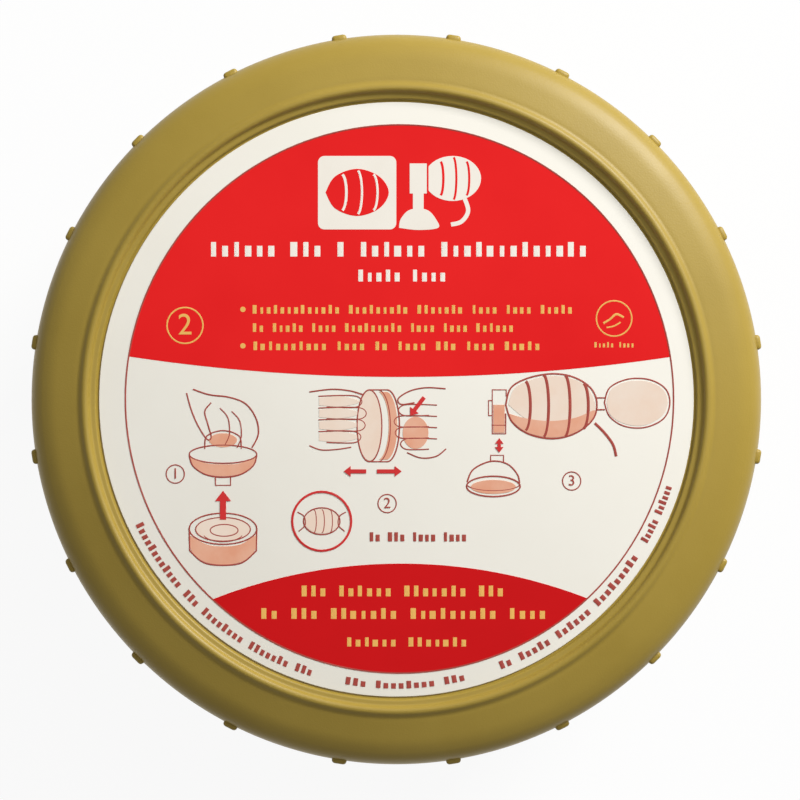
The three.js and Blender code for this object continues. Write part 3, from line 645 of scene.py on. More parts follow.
FLAP = Finish("red_rubber", (0.46, 0.035, 0.024), (0.36, 0.028, 0.02), 0.55, 0.16, 110, 0.6,
              0.25, 0.02, 1900, 260, 0.4)
TUBING = Finish("green_tubing", (0.26, 0.50, 0.30), (0.2, 0.44, 0.25), 0.18, 0.12, 60, 0.6,
                0.08, 0.02, 900, 90, 0.6, clear=0.45, coat=0.2)
FILM = Finish("reservoir_film_sheet", (0.62, 0.68, 0.70), (0.54, 0.61, 0.65), 0.2, 0.2, 60, 0.6,
              0.5, 0.06, 500, 90, 0.7, clear=0.35, coat=0.3)
CLEAR = Finish("clear_polymer", (0.86, 0.92, 0.93), (0.8, 0.87, 0.89), 0.08, 0.08, 40, 0.5,
               0.05, 0.01, 900, 60, 0.7, clear=0.88)
VINYL = Finish("cuff_soft_vinyl", (0.60, 0.655, 0.69), (0.53, 0.59, 0.64), 0.25, 0.14, 35, 0.6,
               0.2, 0.03, 700, 80, 0.7, clear=0.2, coat=0.2, scatter=0.2)


def deliver(
    piece: bpy.types.Object, finish: Finish, slot: Slot, body: Body | None, *nodes: str
) -> bpy.types.Object:
    """Dresses a piece, rides it on a body and lets it stand for CAD nodes.

    Args:
        piece: the finished piece.
        finish: its finish.
        slot: the record's slot; not used.
        body: the body it rides on, or None to leave it on no body.
        nodes: the CAD nodes that it replaces.

    Returns:
        The piece.
    """
    piece.data.materials.clear()
    piece.data.materials.append(finish.make())
    if nodes:
        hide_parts(*nodes)
    if body is not None:
        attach(piece, body.value)
    LOG.info("%s rides %s", piece.name, body.value if body else "two bodies")
    return piece


def levels(node: str) -> tuple[float, float]:
    """Returns a CAD node's lowest and highest height, in millimetres."""
    low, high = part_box(node)
    return low.z / MM, high.z / MM


def radius_of(node: str) -> float:
    """Returns half a CAD node's length along X, in millimetres."""
    low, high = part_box(node)
    return (high.x - low.x) / 2 / MM


# --------------------------------------------------------------------------- case


@dataclass
class HardCase:
    """The two-part case: a cup with a ledge and catches, and its ribbed, beaded lid."""

    radius: float = 68.5
    wall: float = 1.8
    neck: float = 65.0
    neck_wall: float = 2.0
    bead: float = 58.1
    lip: float = 55.95
    rib_count: int = 20
    rib_first: float = 9.0
    rib_width: float = 2.8
    rib_stand: float = 0.66
    nub_angle: float = 201.6
    lug_count: int = 4
    lock_turn: float = 25.0
    sides: int = 240

    def lid(self) -> None:
        """Turns the lid and sets its grip ribs, nub and lugs."""
        low, top = levels("case_lid")
        panel = levels("lid_label")[0]
        under = panel - self.wall
        inside = self.radius - self.wall
        rib_out = self.neck - 0.3
        rib_in = self.neck - self.neck_wall + 0.3
        seal = levels("lid_seal")[1]
        corners = [
            Corner(0, panel),
            Corner(self.lip - 0.15, panel, 0.25),
            Corner(self.lip + 0.1, top - 1.15, 0.3),
            Corner(self.lip + 1.15, top - 1.1, 0.35),
            Corner(self.bead - 0.55, top - 0.12, 0.5),
            Corner(self.bead + 0.35, top - 0.02, 0.5),
            Corner(self.bead + 1.15, top - 0.85, 0.5),
            Corner(self.bead + 2.0, top - 1.0, 0.6),
            Corner(self.bead + 6.7, top - 2.35, 1.6),
            Corner(self.radius - 0.9, top - 4.2, 1.9),
            Corner(self.radius, top - 7.2, 2.2),
            Corner(self.radius, low, 0.5),
            Corner(inside, low, 0.4),
            Corner(inside, top - 7.4, 1.5),
            Corner(self.radius - 3.8, under - 0.9, 1.2),
            Corner(rib_out, under - 0.9, 0.3),
            Corner(rib_out, seal + 0.3, 0.2),
            Corner(rib_in, seal + 0.3, 0.2),
            Corner(rib_in, under, 0.4),
            Corner(0, under),
        ]

        def grips(bm: bmesh.types.BMesh) -> None:
            height = top - 6.6 - low
            depth = self.rib_stand + 1.0
            middle = low + height / 2
            size = (depth, self.rib_width, height)
            place = self.radius + self.rib_stand - depth / 2
            bars_round(bm, self.rib_count, self.rib_first, place, size, middle, 0.62)
            nub = (1.2, 1.7, 5.0)
            bars_round(bm, 1, self.nub_angle, self.radius - 0.2, nub, low + 2.5, 0.3)
            lug = (1.6, 13.0, 2.4)
            lug_place = inside - 1.3 + lug[0] / 2
            bars_round(bm, self.lug_count, 0.0, lug_place, lug, levels("case_base")[1] - 8.8, 0.3)

        shell = turned("lid_shell", corners, sides=self.sides, extra=grips)
        deliver(shell, OLIVE, Slot.CASE, Body.LID, "case_lid")

    def base(self) -> None:
        """Turns the cup with its foot ring, ledge and catches."""
        rim = levels("case_base")[1]
        inner = self.neck - self.neck_wall
        corners = [
            Corner(0, 1.0),
            Corner(55, 1.0, 0.4),
            Corner(55.4, 0, 0.4),
            Corner(59.8, 0, 0.5),
            Corner(61.6, 1.2, 0.8),
            Corner(64.4, 3.2, 2.2),
            Corner(65, 8.5, 2.5),
            Corner(65, 45, 0.5),
            Corner(self.radius, 45, 0.5),
            Corner(self.radius, 47, 0.5),
            Corner(65, 47, 0.4),
            Corner(65, rim, 0.5),
            Corner(inner, rim, 0.4),
            Corner(inner, 2.8, 4.0),
            Corner(0, 2.8),
        ]

        def catches(bm: bmesh.types.BMesh) -> None:
            size = (1.7, 24.0, 1.8)
            place = self.neck + 1.3 - size[0] / 2 - 0.9
            bars_round(bm, self.lug_count, -self.lock_turn, place, size, rim - 6.4, 0.3)

        shell = turned("base_shell", corners, sides=self.sides, extra=catches)
        deliver(shell, OLIVE, Slot.CASE, Body.BASE, "case_base")

    def seal(self) -> None:
        """Turns the lid's seal as a ring with a soft lip."""
        low, top = levels("lid_seal")
        r0, r1 = self.neck - self.neck_wall + 0.2, self.neck - 0.2
        middle = (r0 + r1) / 2
        corners = [
            Corner(r0, low, 0.3), Corner(r1, low, 0.3), Corner(r1, top - 0.3, 0.3),
            Corner(middle + 0.3, top - 0.3, 0.2), Corner(middle, top, 0.3),
            Corner(middle - 0.3, top - 0.3, 0.2), Corner(r0, top - 0.3, 0.3),
        ]
        seal = turned("lid_seal_ring", corners, closed=True, sides=160)
        deliver(seal, GREY, Slot.GREY, Body.SEAL, "lid_seal")

    def build(self) -> None:
        """Builds the case."""
        self.base()
        self.lid()
        self.seal()


# --------------------------------------------------------------------------- printed label


def curve_to_mesh(curve: bpy.types.Curve) -> bpy.types.Mesh:
    """Turns a curve into a mesh and drops the curve."""
    holder = bpy.data.objects.new("curve_holder", curve)
    bpy.context.scene.collection.objects.link(holder)
    bpy.context.view_layer.update()
    graph = bpy.context.evaluated_depsgraph_get()
    mesh = bpy.data.meshes.new_from_object(holder.evaluated_get(graph))
    bpy.data.objects.remove(holder)
    bpy.data.curves.remove(curve)
    return mesh


def flow(points: Sequence[Point], cuts: int = 6) -> list[Point]:
    """Returns a smooth curve through points."""
    ends = [points[0], *points, points[-1]]
    out: list[Point] = []
    for p0, p1, p2, p3 in zip(ends, ends[1:], ends[2:], ends[3:]):
        for k in range(cuts):
            t = k / cuts
            out.append(tuple(
                0.5 * (2 * b + (c - a) * t + (2 * a - 5 * b + 4 * c - d) * t * t + (3 * b - a - 3 * c + d) * t ** 3)
                for a, b, c, d in zip(p0, p1, p2, p3)
            ))
    return out + [points[-1]]


class Ink:
    """One colour of print: strokes and areas laid on the card in thin layers."""

    def __init__(self, name: str, finish: Finish, level: float) -> None:
        """Starts an empty print.

        Args:
            name: the print's piece name.
            finish: its finish.
            level: height of its underside, in millimetres.
        """
        self.name = name
        self.finish = finish
        self.level = level
        self.film = 0.02
        self.strokes: list[tuple[list[Point], float, bool]] = []
        self.areas: list[list[Point]] = []
        self.signs: list[tuple[str, float, float, float]] = []

    def line(self, points: Sequence[Point], width: float, loop: bool = False) -> None:
        """Adds a stroke through points, in millimetres from the label's middle."""
        self.strokes.append((list(points), width, loop))

    def area(self, points: Sequence[Point]) -> None:
        """Adds a filled outline."""
        self.areas.append(list(points))

    def oval(self, cx: float, cy: float, rx: float, ry: float) -> None:
        """Adds a filled ellipse."""
        self.areas.append(arc(cx, cy, rx, ry, 0, 360, 40)[:-1])

    def hoop(self, cx: float, cy: float, rx: float, ry: float, width: float) -> None:
        """Adds an ellipse's outline."""
        self.line(arc(cx, cy, rx, ry, 0, 360, 40)[:-1], width, True)

    def sign(self, text: str, cx: float, cy: float, height: float) -> None:
        """Adds a plain number."""
        self.signs.append((text, cx, cy, height))

    def dashes(self, cx: float, cy: float, span: float, height: float, words: Sequence[int]) -> None:
        """Fills a line of print with plain marks, grouped as words are.

        Args:
            cx: middle of the line.
            cy: height of the line's middle on the label.
            span: the line's length.
            height: height of the marks.
            words: marks in each group.
        """
        pitch = span / (sum(words) + len(words) - 1)
        x = cx - span / 2 + pitch / 2
        for word in words:
            for k in range(word):
                tall = height * (1.0 if k == 0 or (k * 5 + word) % 4 == 0 else 0.74)
                foot = cy - height / 2
                fat = pitch * (0.5, 0.66, 0.58, 0.7)[(k * 3 + word) % 4]
                self.line([(x, foot), (x, foot + tall)], fat)
                x += pitch
            x += pitch

    def dashes_round(self, radius: float, a0: float, a1: float, height: float, words: Sequence[int]) -> None:
        """Fills an arc of print with plain marks; see dashes."""
        pitch = (a1 - a0) / (sum(words) + len(words) - 1)
        a = a0 + pitch / 2
        for word in words:
            for k in range(word):
                tall = height * (1.0 if k == 0 or (k * 5 + word) % 4 == 0 else 0.72)
                c, s = math.cos(math.radians(a)), math.sin(math.radians(a))
                r0, r1 = radius + height / 2, radius + height / 2 - tall
                width = abs(math.radians(pitch)) * radius * 0.62
                self.line([(c * r0, s * r0), (c * r1, s * r1)], width)
                a += pitch
            a += pitch

    def stroke_mesh(self) -> bpy.types.Mesh:
        """Draws every stroke as a tube, to be pressed flat."""
        curve = bpy.data.curves.new("strokes", "CURVE")
        curve.dimensions = "3D"
        curve.bevel_depth = 1.0
        curve.bevel_resolution = 1
        curve.use_fill_caps = True
        for i, (points, width, loop) in enumerate(self.strokes):
            spline = curve.splines.new("POLY")
            spline.points.add(len(points) - 1)
            for spot, (x, y) in zip(spline.points, points):
                spot.co = (x, y, 10.0 * (i % 7), 1.0)
                spot.radius = width / 2
            spline.use_cyclic_u = loop
        return curve_to_mesh(curve)

    def area_mesh(self, points: Sequence[Point]) -> bpy.types.Mesh:
        """Fills one outline."""
        curve = bpy.data.curves.new("area", "CURVE")
        curve.dimensions = "2D"
        curve.fill_mode = "BOTH"
        curve.extrude = 0.5
        spline = curve.splines.new("POLY")
        spline.points.add(len(points) - 1)
        for spot, (x, y) in zip(spline.points, points):
            spot.co = (x, y, 0.0, 1.0)
        spline.use_cyclic_u = True
        return curve_to_mesh(curve)

    def sign_mesh(self, text: str, cx: float, cy: float, height: float) -> bpy.types.Mesh:
        """Draws one plain number."""
        curve = bpy.data.curves.new("sign", "FONT")
        curve.body = text
        curve.size = height
        curve.extrude = 0.5
        curve.align_x = "CENTER"
        curve.align_y = "CENTER"
        mesh = curve_to_mesh(curve)
        mesh.transform(Matrix.Translation((cx, cy, 0)))
        return mesh

    def print_on(self, body: Body, slot: Slot = Slot.LABEL) -> None:
        """Presses the print flat, joins it into one piece and rides it on a body.

        Args:
            body: the body.
            slot: the slot of what it is printed on.
        """
        bm = bmesh.new()
        meshes = [self.area_mesh(points) for points in self.areas]
        meshes += [self.sign_mesh(*sign) for sign in self.signs]
        if self.strokes:
            meshes.append(self.stroke_mesh())
        for i, mesh in enumerate(meshes):
            if i < len(meshes) - bool(self.strokes):
                mesh.transform(Matrix.Translation((0, 0, 10.0 * (i % 7 + 7))))
            bm.from_mesh(mesh)
            bpy.data.meshes.remove(mesh)
        bmesh.ops.remove_doubles(bm, verts=bm.verts, dist=1e-5)
        for vert in bm.verts:
            layer = round(vert.co.z / 10)
            lift = self.film + 0.0015 * layer if vert.co.z > 10 * layer else 0.0
            vert.co.z = self.level + lift
        bmesh.ops.scale(bm, verts=bm.verts, vec=(MM, MM, MM))
        bmesh.ops.recalc_face_normals(bm, faces=bm.faces)
        deliver(to_object(bm, self.name), self.finish, slot, body)


@dataclass
class LidLabel:
    """The printed card in the lid, its words and marks replaced by plain shapes."""

    edge: float = 55.45
    circle: float = 51.1
    shift: Point = (0.6, 0.1)
    line: float = 0.28

    def card(self) -> float:
        """Turns the card.

        Returns:
            The height of its face, in millimetres.
        """
        low, top = levels("lid_label")
        corners = [Corner(0, low), Corner(self.edge, low, 0.1), Corner(self.edge, top, 0.15), Corner(0, top)]
        card = turned("label_card", corners, sides=200)
        deliver(card, CARD, Slot.LABEL, Body.LID, "lid_label")
        return top

    def field(self, ink: Ink, across: Sequence[Point], upper: bool) -> None:
        """Fills the printed circle above or below a curve.

        Args:
            ink: the print that takes it.
            across: the curve from left to right, longer than the circle is wide.
            upper: whether the field lies above the curve.
        """
        cx, cy = self.shift
        inside = [p for p in across if math.dist(p, self.shift) < self.circle]
        a0 = math.degrees(math.atan2(inside[-1][1] - cy, inside[-1][0] - cx))
        a1 = math.degrees(math.atan2(inside[0][1] - cy, inside[0][0] - cx))
        if upper:
            rim = arc(cx, cy, self.circle, self.circle, a0, a1 % 360, 120)
        else:
            rim = arc(cx, cy, self.circle, self.circle, a0, a1 - (360 if a1 > a0 else 0), 90)
        ink.area(inside + rim)

    def fields(self, top: float) -> None:
        """Prints the red fields: a segment above and a lens below."""
        upper = Ink("print_upper_field", RED, top)
        self.field(upper, arc(0.9, 343.5, 339.3, 339.3, 270 - 9.5, 270 + 9.5, 400), True)
        upper.print_on(Body.LID)
        lower = Ink("print_lower_field", DEEP_RED, top)
        self.field(lower, arc(0.9, -126.9, 96.3, 96.3, 116, 64, 400), False)
        lower.print_on(Body.LID)

    def pale_print(self, top: float) -> None:
        """Prints the cream and gold marks on the red fields."""
        cream = Ink("print_cream_marks", CREAM, top + 0.02)
        x0, x1, y0, y1, r = -14.6, 0.0, 31.7, 45.4, 1.2
        cream.area(
            arc(x1 - r, y0 + r, r, r, -90, 0, 6) + arc(x1 - r, y1 - r, r, r, 0, 90, 6)
            + arc(x0 + r, y1 - r, r, r, 90, 180, 6) + arc(x0 + r, y0 + r, r, r, 180, 270, 6)
        )
        self.icons(cream)
        cream.dashes(0.35, 28.0, 71.0, 2.7, (6, 3, 1, 6, 13))
        cream.dashes(1.0, 23.1, 17.0, 2.2, (5, 4))
        cream.print_on(Body.LID)
        emblem = Ink("print_emblem", RED, top + 0.045)
        emblem.area(flow([(-13.2, 38.6), (-11.4, 41.6), (-7.3, 43.0), (-3.2, 41.6), (-1.4, 38.6), (-3.2, 35.6),
                          (-7.3, 34.2), (-11.4, 35.6), (-13.2, 38.6)]))
        for x, h in ((8.2, 3.2), (10.6, 4.0), (13.0, 3.2)):
            emblem.line(arc(x, 41.2, 0.6, h, 80, -80, 12), 0.5)
        emblem.line([(5.85, 38.2), (5.85, 44.2)], 0.4)
        emblem.print_on(Body.LID)
        folds = Ink("print_emblem_folds", CREAM, top + 0.07)
        for x, h in ((-10.2, 3.4), (-7.3, 4.1), (-4.4, 3.4)):
            folds.line(arc(x, 38.6, 0.9, h, 80, -80, 12), 0.5)
        folds.print_on(Body.LID)
        gold = Ink("print_gold_marks", GOLD, top + 0.02)
        for i, (y, span, words) in enumerate((
            (16.8, 60.0, (13, 9, 7, 4, 4, 5)), (13.4, 49.0, (2, 5, 4, 9, 4, 4, 6)), (10.0, 54.0, (10, 4, 2, 4, 3, 4, 5)),
        )):
            if i != 1:
                gold.oval(-28.6, y, 0.5, 0.5)
            gold.dashes(-27.0 + span / 2, y, span, 1.6, words)
        gold.hoop(-39.4, 13.8, 3.35, 3.35, 0.36)
        gold.sign("2", -39.4, 13.8, 5.6)
        gold.hoop(40.6, 15.1, 3.3, 3.3, 0.34)
        gold.line(flow([(38.6, 14.2), (39.9, 15.0), (41.0, 15.9), (42.4, 15.3)]), 0.5)
        gold.line(flow([(39.2, 13.4), (40.6, 13.7), (41.8, 14.4)]), 0.34)
        gold.dashes(40.6, 10.2, 7.6, 1.0, (5, 4))
        gold.dashes(1.1, -35.7, 38.3, 2.0, (3, 6, 7, 3))
        gold.dashes(1.3, -39.9, 53.7, 2.0, (2, 3, 7, 9, 4))
        gold.dashes(1.9, -45.2, 23.0, 1.7, (6, 7))
        gold.print_on(Body.LID)

    def icons(self, ink: Ink) -> None:
        """Draws a plain bag, valve and mask in the place of the large mark."""
        ink.oval(10.5, 41.2, 5.3, 4.2)
        ink.area([(2.5, 38.4), (5.7, 38.4), (5.7, 44.0), (2.5, 44.0)])
        ink.area([(3.1, 35.3), (5.1, 35.3), (5.1, 38.6), (3.1, 38.6)])
        ink.area(flow([(0.5, 32.0), (0.8, 33.6), (2.2, 35.2), (4.1, 35.6), (6.0, 35.2), (7.4, 33.6), (7.8, 32.0),
                       (4.1, 31.6), (0.5, 32.0)]))
        ink.line(flow([(12.6, 37.8), (13.4, 35.2), (12.2, 33.2), (10.2, 32.6)]), 0.8)

    def dark_print(self, top: float) -> None:
        """Prints the thin circle, the ring of small marks and the drawings' lines."""
        line = Ink("print_red_lines", LINE_RED, top + 0.045)
        line.line(arc(*self.shift, self.circle, self.circle, 0, 360, 180)[:-1], self.line, True)
        line.dashes_round(53.2, 205.5, 253.0, 1.5, (12, 3, 8, 7, 3))
        line.dashes_round(53.2, 259.5, 284.0, 1.4, (3, 8, 3))
        line.dashes_round(53.2, 291.0, 327.0, 1.5, (2, 5, 6, 9))
        line.dashes_round(53.2, 330.0, 342.5, 1.5, (5, 6))
        line.dashes(4.0, -25.6, 18.4, 1.7, (2, 3, 4, 4))
        for text, x, y in (("1", -41.2, -13.9), ("2", -1.7, -19.4), ("3", 32.7, -15.2)):
            line.hoop(x, y, 1.7, 1.7, 0.22)
            line.sign(text, x, y, 2.8)
        self.draw_unpacking(line, -32.3)
        self.draw_opening(line)
        self.draw_in_use(line)
        line.print_on(Body.LID)

    def draw_unpacking(self, ink: Ink, x: float) -> None:
        """Draws a hand that lifts the mask out of the cup."""
        ink.hoop(x, -24.1, 6.3, 2.9, 0.26)
        ink.hoop(x, -24.2, 5.1, 2.2, 0.22)
        ink.hoop(x + 0.2, -24.4, 2.6, 1.1, 0.26)
        ink.line(arc(x, -24.8, 3.8, 1.7, 200, 340, 16), 0.2)
        ink.line([(x - 6.3, -24.1)] + flow([(x - 6.2, -28.2), (x - 3.6, -30.4), (x, -30.9), (x + 3.6, -30.4), (x + 6.2, -28.2)])
                 + [(x + 6.3, -24.1)], 0.28)
        ink.hoop(x, -10.2, 6.3, 1.7, 0.24)
        ink.line(flow([(x - 6.3, -10.4), (x - 5.6, -12.4), (x - 3.2, -14.0), (x, -14.5), (x + 3.2, -14.0), (x + 5.6, -12.4),
                       (x + 6.3, -10.4)]), 0.28)
        ink.line(flow([(x - 3.4, -9.2), (x - 3.0, -6.8), (x, -5.8), (x + 3.0, -6.8), (x + 3.4, -9.2)]), 0.24)
        ink.line([(x - 1.4, -14.4), (x - 1.4, -16.0), (x + 1.4, -16.0), (x + 1.4, -14.4)], 0.24)
        ink.line(flow([(x - 6.8, 1.2), (x - 5.9, -2.0), (x - 4.6, -5.0), (x - 3.0, -7.4), (x - 2.2, -7.0), (x - 2.9, -4.4),
                       (x - 3.4, -2.2), (x - 2.2, -0.6)]), 0.26)
        ink.line(flow([(x - 5.6, 1.9), (x - 2.6, 0.9), (x + 1.2, 0.4), (x + 4.2, -0.8), (x + 6.1, -3.4), (x + 6.6, -6.4),
                       (x + 5.4, -9.0)]), 0.28)
        for dx, dy in ((0.0, 0.0), (2.2, -0.6)):
            ink.line(flow([(x - 0.6 + dx, -1.6 + dy), (x + 0.9 + dx, -3.4 + dy), (x + 1.2 + dx, -6.4 + dy),
                           (x + 0.4 + dx, -8.4 + dy)]), 0.22)

    def finger(self, ink: Ink, x0: float, x1: float, y: float, width: float) -> None:
        """Draws one finger from its root at x0 to its tip at x1."""
        step = 1 if x1 > x0 else -1
        tip = x1 - step * width / 2
        h = width / 2
        ink.line(flow([(x0, y + h), ((x0 + x1) / 2, y + h * 1.15), (tip, y + h), (x1, y), (tip, y - h),
                       ((x0 + x1) / 2, y - h * 1.1), (x0 + step * 1.5, y - h)]), 0.22)

    def draw_opening(self, ink: Ink) -> None:
        """Draws two hands that pull the folded bag open by its two ends."""
        ink.hoop(-5.0, -4.9, 2.3, 6.7, 0.26)
        ink.line(arc(-1.7, -4.9, 2.3, 6.7, 90, -90, 24), 0.26)
        ink.line(arc(-3.4, -4.9, 2.3, 6.7, 88, -88, 24), 0.18)
        ink.line([(-5.0, 1.8), (-1.7, 1.8)], 0.22)
        ink.line([(-5.0, -11.6), (-1.7, -11.6)], 0.22)
        for k, reach in enumerate((-6.4, -5.6, -5.8, -6.6)):
            self.finger(ink, -14.5, reach, -0.4 - 2.2 * k, 2.0)
        ink.line(flow([(-16.2, 1.4), (-12.0, 1.9), (-8.6, 1.6), (-6.2, 0.9)]), 0.26)
        ink.line(flow([(-16.2, -8.6), (-14.0, -9.4), (-11.0, -9.3), (-8.4, -8.9)]), 0.24)
        for k, reach in enumerate((0.4, -0.4, -0.2, 0.8)):
            self.finger(ink, 7.6, reach, -2.0 - 2.1 * k, 1.9)
        ink.line(flow([(9.2, 2.0), (5.6, 2.2), (2.6, 1.6), (0.4, 0.2), (0.9, -0.9), (3.4, -0.6)]), 0.26)
        ink.line(flow([(9.3, -9.2), (7.4, -10.6), (4.6, -10.9), (2.0, -9.9)]), 0.24)
        ink.hoop(-13.9, -22.7, 3.4, 2.5, 0.24)
        for dx in (-1.5, 0.0, 1.5):
            ink.line(arc(-13.9 + dx, -22.7, 0.5, 2.2, 90, -90, 10), 0.2)
        ink.line(flow([(-18.4, -21.0), (-17.2, -21.8), (-17.0, -23.4), (-18.2, -24.6)]), 0.22)
        ink.line(flow([(-9.4, -21.0), (-10.6, -21.8), (-10.8, -23.4), (-9.6, -24.6)]), 0.22)

    def draw_in_use(self, ink: Ink) -> None:
        """Draws the opened bag with its valve, reservoir, tube and mask."""
        hull = [(20.4, -1.0), (21.4, 2.2), (24.6, 4.0), (29.0, 4.8), (33.0, 4.2), (36.2, 2.2), (37.4, -0.6), (36.6, -3.8),
                (33.2, -6.4), (29.0, -7.3), (24.6, -6.4), (21.6, -4.2), (20.4, -1.0)]
        ink.line(flow(hull), 0.3)
        for x, h in ((24.0, 4.6), (27.4, 5.8), (31.4, 5.7), (34.8, 4.2)):
            ink.line(arc(x, -1.2, 1.0, h, 84, -84, 16), 0.62)
        ink.line(flow([(38.8, -0.6), (39.8, 2.2), (43.2, 3.8), (47.2, 3.7), (50.2, 2.0), (51.0, -0.8), (49.8, -3.6),
                       (46.4, -5.2), (42.6, -5.0), (39.8, -3.2), (38.8, -0.6)]), 0.26)
        ink.line([(37.3, 0.3), (38.9, 0.3)], 0.26)
        ink.line([(37.3, -1.9), (38.9, -1.9)], 0.26)
        ink.line(flow([(37.0, -4.4), (38.8, -6.2), (40.4, -8.4), (41.0, -10.6)]), 0.5)
        ink.line([(20.5, 0.6), (20.5, 1.8), (17.9, 1.8), (17.9, -6.4), (20.4, -6.4), (20.4, -2.6)], 0.26)
        ink.line([(17.9, -0.2), (17.2, -0.2), (17.2, -3.0), (17.9, -3.0)], 0.24)
        ink.line([(18.0, -4.8), (20.4, -4.8)], 0.22)
        ink.line([(17.6, -11.6), (17.6, -10.4), (20.0, -10.4), (20.0, -11.6)], 0.24)
        ink.line(flow([(13.2, -15.4), (14.2, -13.2), (16.6, -11.8), (18.8, -11.5), (21.0, -12.2), (22.6, -14.0), (23.0, -15.6)]), 0.28)
        ink.hoop(18.1, -16.2, 5.0, 1.9, 0.28)
        ink.line(arc(18.1, -15.8, 4.9, 1.2, 190, 350, 16), 0.2)

    def tints(self, top: float) -> None:
        """Prints the peach fills under the drawings' lines and the arrows."""
        deep = Ink("print_peach_fill", PEACH, top + 0.02)
        deep.area(flow([(-38.4, -25.4), (-38.2, -28.2), (-35.9, -30.2), (-32.3, -30.8), (-28.7, -30.2), (-26.4, -28.2),
                        (-26.1, -25.4), (-29.0, -27.0), (-32.3, -27.4), (-35.4, -27.0), (-38.4, -25.4)]))
        deep.area(flow([(-38.4, -10.8), (-37.6, -12.6), (-35.4, -13.9), (-32.3, -14.3), (-29.2, -13.9), (-27.0, -12.6),
                        (-26.2, -10.8), (-29.2, -11.9), (-32.3, -12.1), (-35.4, -11.9), (-38.4, -10.8)]))
        deep.oval(-32.3, -7.6, 2.6, 1.3)
        deep.area(arc(-2.0, -4.9, 2.2, 6.4, 80, -80, 20) + arc(-3.6, -4.9, 2.2, 6.4, -80, 80, 20))
        deep.area(flow([(20.8, -2.6), (24.6, -3.6), (29.0, -4.0), (33.4, -3.4), (37.0, -2.0), (36.4, -3.8), (33.2, -6.2),
                        (29.0, -7.1), (24.6, -6.2), (21.8, -4.2), (20.8, -2.6)]))
        deep.area([(18.1, -6.2), (20.2, -6.2), (20.2, -1.0), (18.1, -1.0)])
        deep.oval(18.1, -16.3, 4.2, 1.3)
        deep.oval(3.6, -6.2, 2.4, 3.0)
        deep.print_on(Body.LID)
        pale = Ink("print_pale_fill", PALE_PEACH, top + 0.018)
        pale.area(flow([(20.9, -1.0), (22.0, 2.0), (25.0, 3.6), (29.0, 4.4), (33.0, 3.8), (36.0, 1.8), (37.0, -2.2),
                        (33.4, -3.6), (29.0, -4.2), (24.6, -3.8), (20.9, -1.0)]))
        pale.area(flow([(39.2, -0.6), (40.2, 2.0), (43.4, 3.4), (47.0, 3.3), (49.8, 1.8), (50.6, -0.8), (49.4, -3.2),
                        (46.2, -4.8), (42.8, -4.6), (40.0, -3.0), (39.2, -0.6)]))
        pale.oval(-5.0, -4.9, 2.2, 6.5)
        pale.oval(-32.3, -24.2, 5.0, 2.1)
        for k in range(4):
            pale.area(flow([(-14.4, 0.3 - 2.2 * k), (-10.2, 0.6 - 2.2 * k), (-6.8, -0.4 - 2.2 * k), (-10.2, -1.3 - 2.2 * k),
                            (-14.4, -1.1 - 2.2 * k)]))
        pale.oval(-13.9, -22.7, 3.2, 2.3)
        pale.print_on(Body.LID)
        arrow = Ink("print_arrows", ARROW, top + 0.08)
        self.arrow(arrow, (-32.3, -22.4), (-32.3, -17.0), 1.5)
        self.arrow(arrow, (-5.6, -13.4), (-9.8, -13.4), 1.0)
        self.arrow(arrow, (-3.6, -13.4), (1.0, -13.4), 1.0)
        self.arrow(arrow, (19.2, -8.6), (19.2, -7.2), 0.8)
        self.arrow(arrow, (19.2, -8.6), (19.2, -9.9), 0.8)
        self.arrow(arrow, (5.2, 0.4), (2.6, -3.0), 1.0)
        arrow.hoop(-13.9, -22.7, 5.5, 5.5, 0.42)
        arrow.print_on(Body.LID)

    def arrow(self, ink: Ink, tail: Point, tip: Point, width: float) -> None:
        """Draws a filled arrow.

        Args:
            ink: the print that takes it.
            tail: where it starts.
            tip: where it points.
            width: half the width of its head.
        """
        along = Vector((tip[0] - tail[0], tip[1] - tail[1])).normalized()
        side = Vector((-along.y, along.x)) * width
        neck = Vector(tip) - along * width * 1.3
        ends = (Vector(tip), neck + side, neck + side * 0.38, Vector(tail) + side * 0.38,
                Vector(tail) - side * 0.38, neck - side * 0.38, neck - side)
        ink.area([(p.x, p.y) for p in ends])

    def build(self) -> None:
        """Builds the label."""
        top = self.card()
        self.fields(top)
        self.pale_print(top)
        self.tints(top)
        self.dark_print(top)


# --------------------------------------------------------------------------- bag and rear unit


